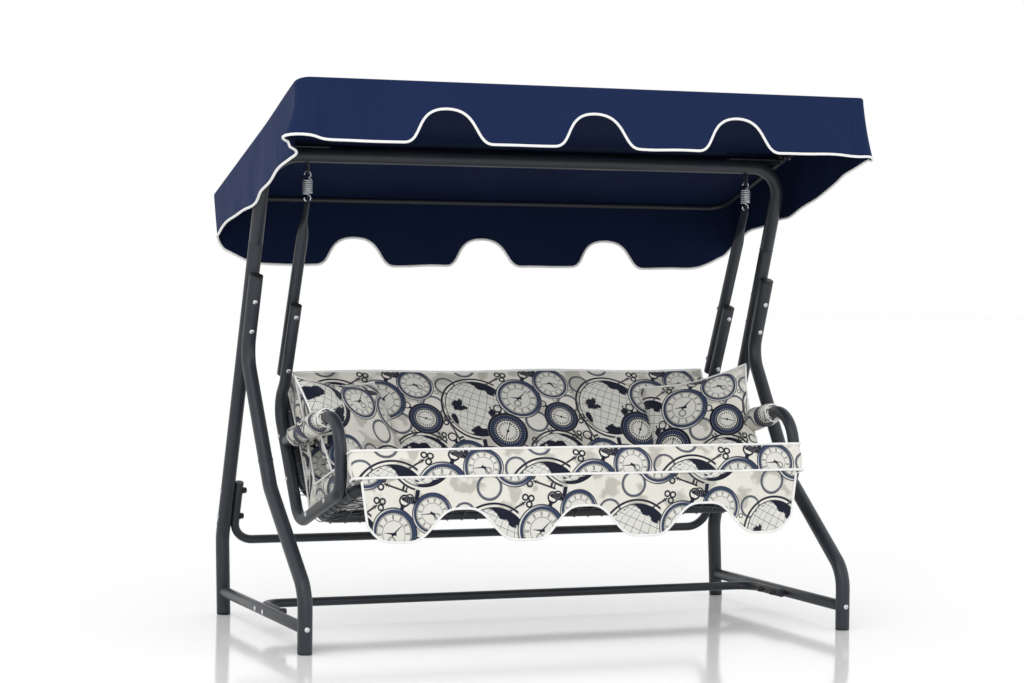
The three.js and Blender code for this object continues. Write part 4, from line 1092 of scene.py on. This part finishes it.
def make_seat_frame():
    for label, side in SIDES:
        x = side * HANGER_X
        outward = Vector((side, 0, 0))
        painted_tube(f"hoop_tube_{label}", hoop_line(x), SEAT_R, "seat", f"hoop_{label}", sides=40)
        make_hanger(label, x)
        top = on_hoop_stub(HOOP_TOP_Z, x) - HANGER_UP * CAP_LIP
        cap(f"hoop_plug_{label}", top, HANGER_UP, SEAT_R, 0.006, "seat", f"hoop_cap_{label}")
        for i, z in enumerate(HANGER_BOLTS_Z, 1):
            name = f"hanger_bolt_{i}_{label}"
            centre = on_hoop_stub(z, x) + HANGER_ACROSS * (SEAT_R + GAP / 2)
            bolt(name, centre, HANGER_ACROSS, 4 * SEAT_R + GAP, "seat", name)
        for i, distance in enumerate(SEAT_BOLTS, 1):
            centre = on_seat(distance, x) - outward * SEAT_R
            bolt(f"seat_bolt_{i}_{label}", centre, -outward, 4 * SEAT_R, "seat")
        for i, distance in enumerate(BACK_BOLTS, 1):
            centre = on_back(distance, x) - outward * (SEAT_R + BACK_R) / 2
            bolt(f"back_bolt_{i}_{label}", centre, -outward, 2 * (SEAT_R + BACK_R), "seat")

    side_x = HANGER_X - SEAT_R - GAP
    seat_x, back_x = side_x - SEAT_R, side_x - BACK_R
    loop = loop_line(seat_x, 0, SEAT_FRAME_FRONT, on_seat)
    painted_tube("seat_frame_tube", loop, SEAT_R, "seat", "seat_frame", sides=40, closed=True)
    loop = loop_line(back_x, *BACK_FRAME_SPAN, on_back)
    painted_tube("back_frame_tube", loop, BACK_R, "seat", "back_frame", closed=True)
    make_wires("seat_wires", seat_x, 0, SEAT_FRAME_FRONT, on_seat, -SEAT_UP, SEAT_R, "seat_mesh")
    make_wires("back_wires", back_x, *BACK_FRAME_SPAN, on_back, -BACK_OUT, BACK_R, "back_mesh")


# ------------------------------------------------------------------ canopy steelwork
def on_canopy(x, along, up=0.0):
    c, s = math.cos(CANOPY_TILT), math.sin(CANOPY_TILT)
    return Vector((x, along * c + up * s, CANOPY_AXIS_Z - along * s + up * c))


def make_canopy_frame():
    inset = CANOPY_HALF_WIDTH - CANOPY_RAIL_X
    x = CANOPY_RAIL_X
    for name, start, end in (
        ("canopy_front_frame", CANOPY_SPLIT - GAP, -CANOPY_FRONT + inset),
        ("canopy_rear_frame", CANOPY_SPLIT, CANOPY_REAR - inset),
    ):
        corners = [on_canopy(-x, start), on_canopy(-x, end), on_canopy(x, end), on_canopy(x, start)]
        line = bent_line(corners, [CANOPY_CORNER] * 2)
        painted_tube(f"{name}_tube", line, CANOPY_TUBE_R, "canopy", name, sides=24)
    bar_x = x - CANOPY_TUBE_R - GAP
    line = [on_canopy(-bar_x, CROSS_BAR_BACK), on_canopy(bar_x, CROSS_BAR_BACK)]
    painted_tube("canopy_cross_tube", line, CANOPY_TUBE_R, "canopy", "canopy_cross_bar", sides=24)


# ------------------------------------------------------------------ canopy cover
COVER_LIFT = 0.0105
COVER_SHIFT = 0.006
COVER_STRETCH = 1.010
COVER_RISE = 0.011
COVER_EDGE_R = 0.006
SIDE_DROP = 0.205
FRONT_DROP, FRONT_RISE, FRONT_ARCHES, FRONT_ARCH_HALF = 0.202, 0.112, (-0.508, 0, 0.508), 0.150
REAR_DROP, REAR_RISE, REAR_ARCHES, REAR_ARCH_HALF = 0.238, 0.100, (-0.482, 0, 0.482), 0.147
VALANCE_LEAN = math.tan(math.radians(6))
PIPING_R = 0.0044
COVER_MIDDLE = 0.019
TOP_RINGS = 30
VALANCE_RINGS = 16


def arch(x, centres, half, rise):
    """Height of a row of bell-shaped arches at x."""
    t = np.linspace(0, 1, 60)
    across = 3 * (1 - t) * t * t * 0.55 + 3 * (1 - t) ** 2 * t * 0.75 + t ** 3
    up = (1 - t) ** 3 + 3 * (1 - t) ** 2 * t
    return rise * max(np.interp(abs(x - c) / half, across, up, right=0.0) for c in centres)


def hump(distance, width):
    return math.exp(-((distance / width) ** 2))


def cover_outline():
    """Points round the cover's top with their outward directions, about 8 mm apart."""
    points = []
    w = CANOPY_HALF_WIDTH
    corners = (
        (w, CANOPY_REAR, 0, 0.040), (-w, CANOPY_REAR, 90, 0.040),
        (-w, -CANOPY_FRONT, 180, 0.045), (w, -CANOPY_FRONT, 270, 0.018),
    )
    for corner_x, corner_y, begin, r in corners:
        middle_x = corner_x - math.copysign(r, corner_x)
        middle_y = corner_y - math.copysign(r, corner_y)
        for k in range(13):
            a = math.radians(begin + 90 * k / 12)
            points.append((middle_x + r * math.cos(a), middle_y + r * math.sin(a)))
    points.append(points[0])
    line = resampled([Vector((x, y, 0)) for x, y in points], 0.008)[:-1]
    count = len(line)
    result = []
    for i, p in enumerate(line):
        along = unit(line[(i + 1) % count] - line[i - 1])
        result.append((p.x, p.y, along.y, -along.x))
    return result


def valance_drop(x, y, nx, ny):
    front = FRONT_DROP - arch(x, FRONT_ARCHES, FRONT_ARCH_HALF, FRONT_RISE)
    rear = REAR_DROP - arch(x, REAR_ARCHES, REAR_ARCH_HALF, REAR_RISE)
    side = SIDE_DROP - 0.060 * smooth((y + 0.10) / 0.65)
    side += 0.004 * math.sin(y * 11 + 1) + 0.003 * math.sin(y * 27)
    blend_y = abs(ny) ** 2
    drop = side * (1 - blend_y) + (rear if ny > 0 else front) * blend_y
    if ny < 0:
        drop += 0.008 * hump(CANOPY_HALF_WIDTH - x, 0.10) - 0.014 * hump(x + CANOPY_HALF_WIDTH, 0.05)
    if ny > 0:
        drop -= 0.055 * blend_y * hump(CANOPY_HALF_WIDTH - abs(x), 0.10)
    return drop


def valance_sway(x, y, nx, ny, along):
    """How far the free edge stands out of square, from ripples, corner tips and the folds behind them."""
    sway = 0.0035 * math.sin(along * 14.3 + 0.6) + 0.0022 * math.sin(along * 33.1 + 1.9)
    sway += 0.003 * math.sin(along * 5.2)
    for side, tip in ((-1, 0.096), (1, 0.014)):
        corner = math.hypot(x - side * CANOPY_HALF_WIDTH, y + CANOPY_FRONT)
        sway += tip * hump(corner, 0.045)
    if nx < -0.7:
        sway -= 0.012 * hump(y + CANOPY_FRONT - 0.10, 0.04)
    if nx > 0.7:
        sway -= 0.010 * hump(y + CANOPY_FRONT - 0.16, 0.07)
    return sway


def on_cover(x, along, up):
    """Place on the cover, which sits a little to one side and rides up over the front rail."""
    rise = COVER_RISE * smooth((-along - 0.1) / 0.4)
    return on_canopy(x * COVER_STRETCH + COVER_SHIFT, along, up + rise)


def hollow(along, start, end):
    """0 at two bars and 1 half way between them."""
    return math.sin(math.pi * min(1, max(0, (along - start) / (end - start))))


def cover_top(outline):
    """Rings of the top, from its middle out to the bend, with the cloth sagging between the bars."""
    rings, cloth = [], []
    for r in range(1, TOP_RINGS + 1):
        share = (r / TOP_RINGS) ** 0.85
        ring, uv = [], []
        for x, y, nx, ny in outline:
            px, py = x * share, (y - COVER_MIDDLE) * share + COVER_MIDDLE
            edge = COVER_EDGE_R * share
            px, py = px - nx * edge, py - ny * edge
            slack = min(1, (1 - share) * 7)
            sag = 0.007 * (hollow(py, -CANOPY_FRONT, CROSS_BAR_BACK) + hollow(py, CROSS_BAR_BACK, CANOPY_REAR))
            sag += 0.0012 * math.sin(px * 9 + 2 * py) * math.sin(py * 13)
            ring.append(on_cover(px, py, COVER_LIFT - sag * slack))
            uv.append((px, py))
        rings.append(ring)
        cloth.append(uv)
    return rings, cloth


def cover_valance(outline, arc):
    """Rings of the bend over the rails and of the hanging edge below it."""
    rings, cloth = [], []
    for level in (0.3, 0.7, 1.0):
        turn = level * math.pi / 2
        inset = COVER_EDGE_R * (1 - math.sin(turn))
        up = COVER_LIFT - COVER_EDGE_R * (1 - math.cos(turn))
        rings.append([on_cover(x - nx * inset, y - ny * inset, up) for x, y, nx, ny in outline])
        cloth.append([(a, -COVER_EDGE_R * level) for a in arc])
    for k in range(1, VALANCE_RINGS + 1):
        ring, uv = [], []
        for at, (x, y, nx, ny) in zip(arc, outline):
            drop = valance_drop(x, y, nx, ny)
            depth = COVER_EDGE_R + (drop - COVER_EDGE_R) * k / VALANCE_RINGS
            q = depth / 0.2
            out = q * q * valance_sway(x, y, nx, ny, at)
            out += 0.0012 * math.sin(math.pi * min(1, q)) * math.sin(at * 21)
            forward = ny * (0.35 if x < 0 and ny < 0 else 1)
            lean = VALANCE_LEAN * depth
            ring.append(on_cover(x + nx * out, y + forward * out + lean, COVER_LIFT - depth))
            uv.append((at, -depth))
        rings.append(ring)
        cloth.append(uv)
    return rings, cloth


def cover_seams(outline, rings):
    """Sewn joins down the hanging edge, one near each corner."""
    seams = []
    for side_label, side in SIDES:
        for end_label, place, facing in (("front", 0.062, -1), ("rear", 0.030, 1)):

            def apart(i):
                x, _, _, ny = outline[i]
                return abs(x - side * (CANOPY_HALF_WIDTH - place)) + (0 if ny * facing > 0.9 else 9)

            column = min(range(len(outline)), key=apart)
            outward = on_canopy(0, outline[column][3]) - on_canopy(0, 0)
            stitch = [ring[column] + outward * 0.0004 for ring in rings]
            seam = tube(f"cover_seam_{end_label}_{side_label}", stitch, 0.0011, NAVY, sides=8)
            seams.append(finish_piece(seam, "canopy", "canopy_cloth"))
    return seams


def make_canopy_cover():
    """One cloth: a top drawn over the frame, with scalloped front and rear edges sewn on all round."""
    outline = cover_outline()
    around = 0.0
    arc = []
    for (x, y, _, _), (next_x, next_y, _, _) in zip(outline, outline[1:] + outline[:1]):
        arc.append(around)
        around += math.hypot(next_x - x, next_y - y)
    rings, cloth = cover_top(outline)
    more_rings, more_cloth = cover_valance(outline, arc)
    rings, cloth = rings + more_rings, cloth + more_cloth
    verts, faces = skin([list(reversed(r)) for r in rings], cap_end=False)
    cover = new_piece("canopy_cover", verts, faces, NAVY)
    flat = flattened([list(reversed(ring)) for ring in cloth])

    def corners_of(polygon):
        values = [flat[v] for v in polygon.vertices]
        widest = max(u for u, _ in values)
        if min(v for _, v in values) < -0.0005 and polygon.index > len(outline) * TOP_RINGS:
            values = [(u + around if widest - u > 1 else u, v) for u, v in values]
        return values

    lay_cloth(cover, corners_of)
    piping = piping_along("canopy_piping", rings[-1], PIPING_R, "canopy", "canopy_cloth", sides=12)
    seams = cover_seams(outline, rings[TOP_RINGS:])
    thickness = cover.modifiers.new("cloth_thickness", "SOLIDIFY")
    thickness.thickness = 0.0011
    thickness.offset = 0
    # The inner shell of the thickened cover takes the darker navy copy: painted shade under the canopy.
    thickness.material_offset = 1
    cover.data.materials.append(NAVY_PAINTED_SHADE)
    finish_piece(cover, "canopy", "canopy_cloth", "canopy_cloth")


# ------------------------------------------------------------------ cushions
CUSHION_T = 0.090
CUSHION_CLEAR = 0.0015
CUSHION_HALF_WIDTH = 0.772
SEAT_CUSHION_FRONT = 0.497
BACK_CUSHION_SPAN = (0.025, 0.533)
SEAM_GAP = 0.004
FRONT_FLARE = 0.026
SEAT_FACE = SEAT_R + CUSHION_CLEAR
BACK_FACE = BACK_R + CUSHION_CLEAR
CUSHION_PIPING_R = 0.0042
CUSHION_CELLS = (76, 26, 5)
# each pillow's middle, and how far it is turned in, leant back and rolled, in degrees
PILLOW_PLACE = {
    "left": ((-0.628, 0.034, 0.668), (33, 31, 5)),
    "right": ((0.657, 0.026, 0.671), (36, 27, 15)),
}
PILLOW_CELLS = 30
PILLOW_HALF = 0.199
PILLOW_DOME = 0.058
PRESSURE = 4.0
CUSHION_LIMIT = 0.016
PILLOW_LIMIT = 0.012
LAST_FRAME = 20
SLEEVE_START = 0.150
SLEEVE_LENGTH = 0.365
SLEEVE_PAD = 0.0165
FLOUNCE_PITCH = 0.430
FLOUNCE_RISE = 0.104
FLOUNCE_DROP = 0.204
FLOUNCE_END_X = 0.660


def border_of(across, along):
    """Grid points round the edge of a block of cells, in order."""
    border = [(i, 0) for i in range(across)] + [(across, j) for j in range(along)]
    border += [(i, along) for i in range(across, 0, -1)] + [(0, j) for j in range(along, 0, -1)]
    return border


def stuffed_box(name, cells, sizes, place):
    """Closed cushion over a block of cells, with cloth coordinates in metres and its two seam loops."""
    nu, nv, nw = cells
    width, length, depth = sizes
    index, verts = {}, []

    def vertex(i, j, k):
        if (i, j, k) not in index:
            index[i, j, k] = len(verts)
            verts.append(place(i / nu, j / nv, k / nw))
        return index[i, j, k]

    faces, cloth = [], []

    def side(count_a, count_b, at, uv):
        for a in range(count_a):
            for b in range(count_b):
                ring = [(a, b), (a + 1, b), (a + 1, b + 1), (a, b + 1)]
                faces.append([vertex(*at(*p)) for p in ring])
                cloth.append([uv(*p) for p in ring])

    across, along, up = width / nu, length / nv, depth / nw
    side(nu, nv, lambda a, b: (a, b, nw), lambda a, b: (a * across, b * along))
    side(nv, nu, lambda a, b: (b, a, 0), lambda a, b: (b * across + 0.31, a * along + 0.17))
    side(nu, nw, lambda a, b: (a, 0, b), lambda a, b: (a * across, b * up - depth))
    side(nw, nu, lambda a, b: (b, nv, a), lambda a, b: (b * across, length + depth - a * up))
    side(nw, nv, lambda a, b: (0, b, a), lambda a, b: (a * up - depth, b * along))
    side(nv, nw, lambda a, b: (nu, a, b), lambda a, b: (width + depth - b * up, a * along))
    cushion = new_piece(name, verts, faces, PRINT)
    lay_cloth(cushion, lambda polygon: cloth[polygon.index])

    loops = [[index[i, j, k] for i, j in border_of(nu, nv)] for k in (0, nw)]
    corners = [index[i, j, k] for i in (0, nu) for j in (0, nv) for k in (0, nw)]
    return cushion, loops, corners


def blow_up(cushion, held, limit):
    """Fills a cushion with air as cloth, held at some of its points, and keeps what comes out."""
    before = [v.co.copy() for v in cushion.data.vertices]
    group = cushion.vertex_groups.new(name="held")
    group.add(held, 1.0, "REPLACE")
    cloth = cushion.modifiers.new("filling", "CLOTH")
    settings = cloth.settings
    settings.use_pressure = True
    settings.uniform_pressure_force = PRESSURE
    settings.effector_weights.gravity = 0
    settings.quality = 6
    settings.mass = 0.35
    settings.tension_stiffness = 30
    settings.compression_stiffness = 30
    settings.shear_stiffness = 12
    settings.bending_stiffness = 3
    settings.air_damping = 6
    settings.vertex_group_mass = "held"
    cloth.collision_settings.use_collision = False
    cloth.point_cache.frame_start = 1
    cloth.point_cache.frame_end = LAST_FRAME
    scene = bpy.context.scene
    for number in range(1, LAST_FRAME + 1):
        scene.frame_set(number)
    shaped = cushion.evaluated_get(bpy.context.evaluated_depsgraph_get()).to_mesh()
    after = [v.co.copy() for v in shaped.vertices]
    cushion.modifiers.remove(cloth)
    cushion.vertex_groups.remove(group)
    scene.frame_set(1)
    for vertex, old, new in zip(cushion.data.vertices, before, after):
        moved = new - old
        if moved.length > limit:
            moved *= limit / moved.length
        vertex.co = old + moved


def crease_seams(cushion, loops, strength=1.0):
    """Keeps the seams sharp under one finer subdivision."""
    pairs = {frozenset((a, b)) for loop in loops for a, b in zip(loop, loop[1:] + loop[:1])}
    crease = cushion.data.attributes.new("crease_edge", "FLOAT", "EDGE")
    for i, edge in enumerate(cushion.data.edges):
        if frozenset(edge.vertices) in pairs:
            crease.data[i].value = strength
    finer = cushion.modifiers.new("finer", "SUBSURF")
    finer.levels = finer.render_levels = 1


def pipe_seam(name, cushion, loop, radius):
    """Piping just outside a seam."""
    points = [cushion.data.vertices[i].co.copy() for i in loop]
    middle = sum(points, Vector()) / len(points)
    points = [p + unit(p - middle) * 0.0015 for p in points]
    piping_along(name, points, radius, "seat", "print_cloth")


def make_cushions():
    rear_top = on_back(0) + BACK_OUT * (BACK_FACE + CUSHION_T + SEAM_GAP)

    def seat_rear(height):
        start = in_plane(SEAT_REAR_BAR) + SEAT_UP * height
        return (rear_top - start).dot(BACK_OUT) / SEAT_BACKWARD.dot(BACK_OUT)

    def seat_at(u, v, w):
        height = SEAT_FACE + CUSHION_T * w
        front = SEAT_CUSHION_FRONT
        along = -front + (front + seat_rear(height)) * v
        side = 2 * u - 1
        end = 2 * v - 1
        crown = (1 - side ** 8) * (1 - end ** 6)
        point = in_plane(SEAT_REAR_BAR) + SEAT_BACKWARD * along
        half = CUSHION_HALF_WIDTH - 0.006 * math.sin(math.pi * v) * (1 - v)
        half += FRONT_FLARE * smooth((-0.42 - point.y) / 0.035)
        lift = 0.012 * crown * (w > 0.99) - 0.004 * crown * (w < 0.01)
        bulge = 0.010 * (1 - side ** 6) * 4 * w * (1 - w) * (v < 0.001)
        bulge += 0.003 * math.sin(9 * u * math.pi) * (1 - w) * (v < 0.001)
        puff = 0.008 * 4 * w * (1 - w) * (abs(side) > 0.999)
        point += SEAT_UP * (height + lift) - SEAT_BACKWARD * bulge
        return Vector((side * (half + puff), point.y, point.z))

    def back_at(u, v, w):
        side = 2 * u - 1
        end = 2 * v - 1
        crown = (1 - side ** 8) * (1 - end ** 6)
        half = CUSHION_HALF_WIDTH - 0.008 * math.sin(math.pi * v)
        lift = 0.012 * crown * (w > 0.99) - 0.004 * crown * (w < 0.01)
        wander = 0.0035 * math.sin(7.1 * side) * smooth(v * 4 - 3)
        point = on_back(low + (high - low) * v + wander) + BACK_OUT * (BACK_FACE + CUSHION_T * w + lift)
        puff = 0.008 * 4 * w * (1 - w)
        point += BACK_ALONG * puff * (v > 0.999)
        return Vector((side * (half + puff * (abs(side) > 0.999)), point.y, point.z))

    width = 2 * CUSHION_HALF_WIDTH
    low, high = BACK_CUSHION_SPAN
    for node, place, length, under in (
        ("seat_cushion", seat_at, SEAT_CUSHION_FRONT, "lower"),
        ("back_cushion", back_at, high - low, "rear"),
    ):
        name = f"{node}_fill"
        cushion, loops, corners = stuffed_box(name, CUSHION_CELLS, (width, length, CUSHION_T), place)
        blow_up(cushion, [i for loop in loops for i in loop[::2]] + corners, CUSHION_LIMIT)
        crease_seams(cushion, loops)
        for label, loop in zip((under, "front"), loops):
            pipe_seam(f"{node}_piping_{label}", cushion, loop, CUSHION_PIPING_R)
        finish_piece(cushion, "seat", "print_cloth", node)


def make_pillow(label, side):
    """Loose square cushion, sewn from two squares."""
    cells, half = PILLOW_CELLS, PILLOW_HALF
    centre, angles = PILLOW_PLACE[label]
    centre = Vector(centre)
    yaw, lean, roll = (math.radians(a) for a in angles)
    turn = Matrix.Rotation(-side * yaw, 3, "Z") @ Matrix.Rotation(-lean, 3, "X")
    turn = turn @ Matrix.Rotation(-side * roll, 3, "Y")
    verts, index = [], {}
    for layer in (-1, 1):
        for j in range(cells + 1):
            for i in range(cells + 1):
                rim = i in (0, cells) or j in (0, cells)
                if rim and layer > 0:
                    index[layer, i, j] = index[-1, i, j]
                    continue
                u, v = 2 * i / cells - 1, 2 * j / cells - 1
                pull_u = 1 - 0.085 * (1 - v * v) * abs(u) ** 3
                pull_v = 1 - 0.085 * (1 - u * u) * abs(v) ** 3
                dome = PILLOW_DOME * ((1 - u ** 4) * (1 - v ** 4)) ** 0.62
                dome *= 1 + 0.12 * math.sin(3 * u + 2 * v + side)
                droop = 0.010 * (1 - abs(u)) * smooth(v)
                index[layer, i, j] = len(verts)
                point = Vector((half * u * pull_u, -layer * dome, half * v * pull_v - droop))
                verts.append(centre + turn @ point)
    faces, cloth = [], []
    shift = 0.13 if side > 0 else 0.36
    step = 2 * half / cells
    for layer in (-1, 1):
        for j in range(cells):
            for i in range(cells):
                ring = [(i, j), (i + 1, j), (i + 1, j + 1), (i, j + 1)]
                if layer < 0:
                    ring.reverse()
                faces.append([index[layer, a, b] for a, b in ring])
                cloth.append([(a * step + shift, b * step + shift + 0.3 * (layer < 0)) for a, b in ring])
    pillow = new_piece(f"pillow_fill_{label}", verts, faces, PRINT)
    lay_cloth(pillow, lambda polygon: cloth[polygon.index])
    loop = [index[-1, i, j] for i, j in border_of(cells, cells)]
    corners = [index[-1, i, j] for i in (0, cells) for j in (0, cells)]
    blow_up(pillow, corners, PILLOW_LIMIT)
    crease_seams(pillow, [loop], 0.8)
    pipe_seam(f"pillow_piping_{label}", pillow, loop, 0.0036)
    finish_piece(pillow, "seat", "print_cloth", f"pillow_{label}")


def make_arm_pad(label, side):
    """Padded sleeve round the arm, drawn in at its ends."""
    arm = in_plane(ARM_FRONT, side * HANGER_X)
    stations = np.linspace(0, 1, 60)
    inner = SEAT_R + 0.0006
    across = Vector((1, 0, 0))
    above = ARM_ALONG.cross(across)

    def place(share, angle, reach):
        middle = arm + ARM_ALONG * (SLEEVE_START + SLEEVE_LENGTH * share)
        return middle + (across * math.sin(angle) + above * math.cos(angle)) * reach

    def radius(share, angle):
        end = (1 - abs(2 * share - 1) ** 9) ** 0.5
        pucker = 0.0011 * math.sin(14 * angle) * smooth(1 - min(share, 1 - share) * 9)
        lumps = 0.0024 * math.sin(3 * angle + 9 * share + side) + 0.0018 * math.sin(19 * share + 2 * angle)
        return inner + 0.0012 + (SLEEVE_PAD + lumps) * end + pucker * end

    rings, cloth = [], []
    count = 48
    for share in list(stations) + list(stations[::-1]):
        outside = len(rings) < len(stations)
        ring, uv = [], []
        for k in range(count):
            angle = 2 * math.pi * k / count
            ring.append(place(share, angle, radius(share, angle) if outside else inner))
            uv.append((0.21 + SLEEVE_LENGTH * share, 0.1 + 0.20 * k / count))
        rings.append(ring)
        cloth.append(uv)
    verts, faces = skin(rings, closed=True)
    pad = new_piece(f"arm_sleeve_{label}", verts, faces, PRINT)
    flat = flattened(cloth)

    def corners_of(polygon):
        values = [flat[v] for v in polygon.vertices]
        top = max(v for _, v in values)
        return [(u, v + 0.20 if top - v > 0.1 else v) for u, v in values]

    lay_cloth(pad, corners_of)
    finish_piece(pad, "seat", "print_cloth", f"arm_pad_{label}")
    for end, share in (("front", 0.012), ("rear", 0.988)):
        ring = [place(share, a, radius(share, a) + 0.001) for a in np.linspace(0, 2 * math.pi, 49)[:-1]]
        piping_along(f"arm_piping_{end}_{label}", ring, 0.0030, "seat", "print_cloth")


def make_flounce():
    """Scalloped frill sewn under the seat cushion's front edge."""
    top = on_seat(SEAT_CUSHION_FRONT) + SEAT_UP * SEAT_FACE
    half, pitch, rise, drop = CUSHION_HALF_WIDTH, FLOUNCE_PITCH, FLOUNCE_RISE, FLOUNCE_DROP
    columns, rows = 230, 20
    rings, cloth = [], []
    for j in range(rows + 1):
        ring, uv = [], []
        for i in range(columns + 1):
            side = 2 * i / columns - 1
            x = side * half
            end = max(0, (abs(x) - FLOUNCE_END_X) / (half - FLOUNCE_END_X))
            scallop = smooth((0.5 + 0.5 * math.cos(2 * math.pi * x / pitch)) ** 1.15)
            scallop *= abs(x) < 1.5 * pitch
            full = drop - rise * scallop - 0.055 * end ** 3
            depth = full * j / rows
            hang = depth / drop
            ripple = 0.010 * math.sin(x * 7.3 + 0.5) + 0.006 * math.sin(x * 17.9 + 2)
            sway = hang * (ripple + 0.003 * math.sin(x * 41)) - 0.010 * hang
            slant = 0.030 * hang * max(0, (abs(side) - 0.8) / 0.2)
            inward = x - math.copysign(slant, x)
            ring.append(Vector((inward, top.y - 0.002 + sway, top.z - 0.003 - depth)))
            uv.append((x + 0.45, 0.05 - depth))
        rings.append(ring)
        cloth.append(uv)
    flat = flattened(cloth)
    faces = []
    for j in range(rows):
        for i in range(columns):
            a = j * (columns + 1) + i
            faces.append((a, a + columns + 1, a + columns + 2, a + 1))
    frill = new_piece("flounce_cloth", flattened(rings), faces, PRINT)
    lay_cloth(frill, lambda polygon: [flat[v] for v in polygon.vertices])
    thickness = frill.modifiers.new("cloth_thickness", "SOLIDIFY")
    thickness.thickness = 0.0012
    thickness.offset = 0
    hem = [ring[0] for ring in rings[1:]] + rings[-1][1:-1] + [ring[-1] for ring in reversed(rings[1:])]
    hem = resampled(hem, 0.006)
    piping = piping_along("flounce_piping", hem, CUSHION_PIPING_R, "seat", "print_cloth", closed=False)
    finish_piece(frill, "seat", "print_cloth", "flounce")


# ------------------------------------------------------------------ setting
CAMERA_PLACE = (-3.271, -8.206, 1.213)
CAMERA_TURN = (21.283, -1.575, 0.602)
CAMERA_LENS = 90.07


def make_setting():
    """Pale floor, three soft lights, an even white surround and the camera."""
    mesh = bpy.data.meshes.new("floor")
    far = 60
    mesh.from_pydata([(-far, -far, 0), (far, -far, 0), (far, far, 0), (-far, far, 0)], [], [(0, 1, 2, 3)])
    floor = bpy.data.objects.new("floor", mesh)
    bpy.context.scene.collection.objects.link(floor)
    material, s, shader = tree_of("pale_floor")
    finish = {"Base Color": (0.97, 0.97, 0.97, 1), "Roughness": 0.10, "Specular IOR Level": 0.35}
    set_inputs(s, shader, finish)
    mesh.materials.append(material)

    world = bpy.data.worlds.new("studio")
    world.use_nodes = True
    background = world.node_tree.nodes["Background"].inputs
    background["Color"].default_value = (1, 1, 1, 1)
    background["Strength"].default_value = 1.0
    bpy.context.scene.world = world
    for name, place, target, size, power in (
        ("front_soft_light", (-1.5, -6.0, 2.2), (0, 0, 0.6), 3.0, 42),
        ("high_soft_light", (-3.0, -3.0, 4.5), (0, 0, 1.2), 2.5, 50),
        ("right_soft_light", (4.5, -2.5, 2.0), (0, 0, 0.9), 2.0, 14),
    ):
        light = bpy.data.lights.new(name, "AREA")
        light.size = size
        light.energy = power
        lamp = bpy.data.objects.new(name, light)
        lamp.location = place
        lamp.rotation_euler = (Vector(target) - Vector(place)).to_track_quat("-Z", "Y").to_euler()
        bpy.context.scene.collection.objects.link(lamp)
    bpy.context.scene.view_settings.view_transform = "Standard"

    data = bpy.data.cameras.new("camera")
    data.lens = CAMERA_LENS
    data.sensor_width = 36
    camera = bpy.data.objects.new("camera", data)
    bpy.context.scene.collection.objects.link(camera)
    yaw, pitch, roll = (math.radians(a) for a in CAMERA_TURN)
    ahead = Vector((math.sin(yaw) * math.cos(pitch), math.cos(yaw) * math.cos(pitch), math.sin(pitch)))
    right = unit(ahead.cross(Vector((0, 0, 1))))
    up = right.cross(ahead)
    rolled_right = right * math.cos(roll) + up * math.sin(roll)
    rolled_up = rolled_right.cross(ahead)
    facing = Matrix((rolled_right, rolled_up, -ahead)).transposed().to_4x4()
    camera.matrix_world = Matrix.Translation(CAMERA_PLACE) @ facing
    bpy.context.scene.camera = camera


make_stand()
make_stand_fittings()
make_springs()
make_seat_frame()
make_canopy_frame()
make_canopy_cover()
make_cushions()
make_flounce()
for label, side in SIDES:
    make_pillow(label, side)
    make_arm_pad(label, side)
make_setting()
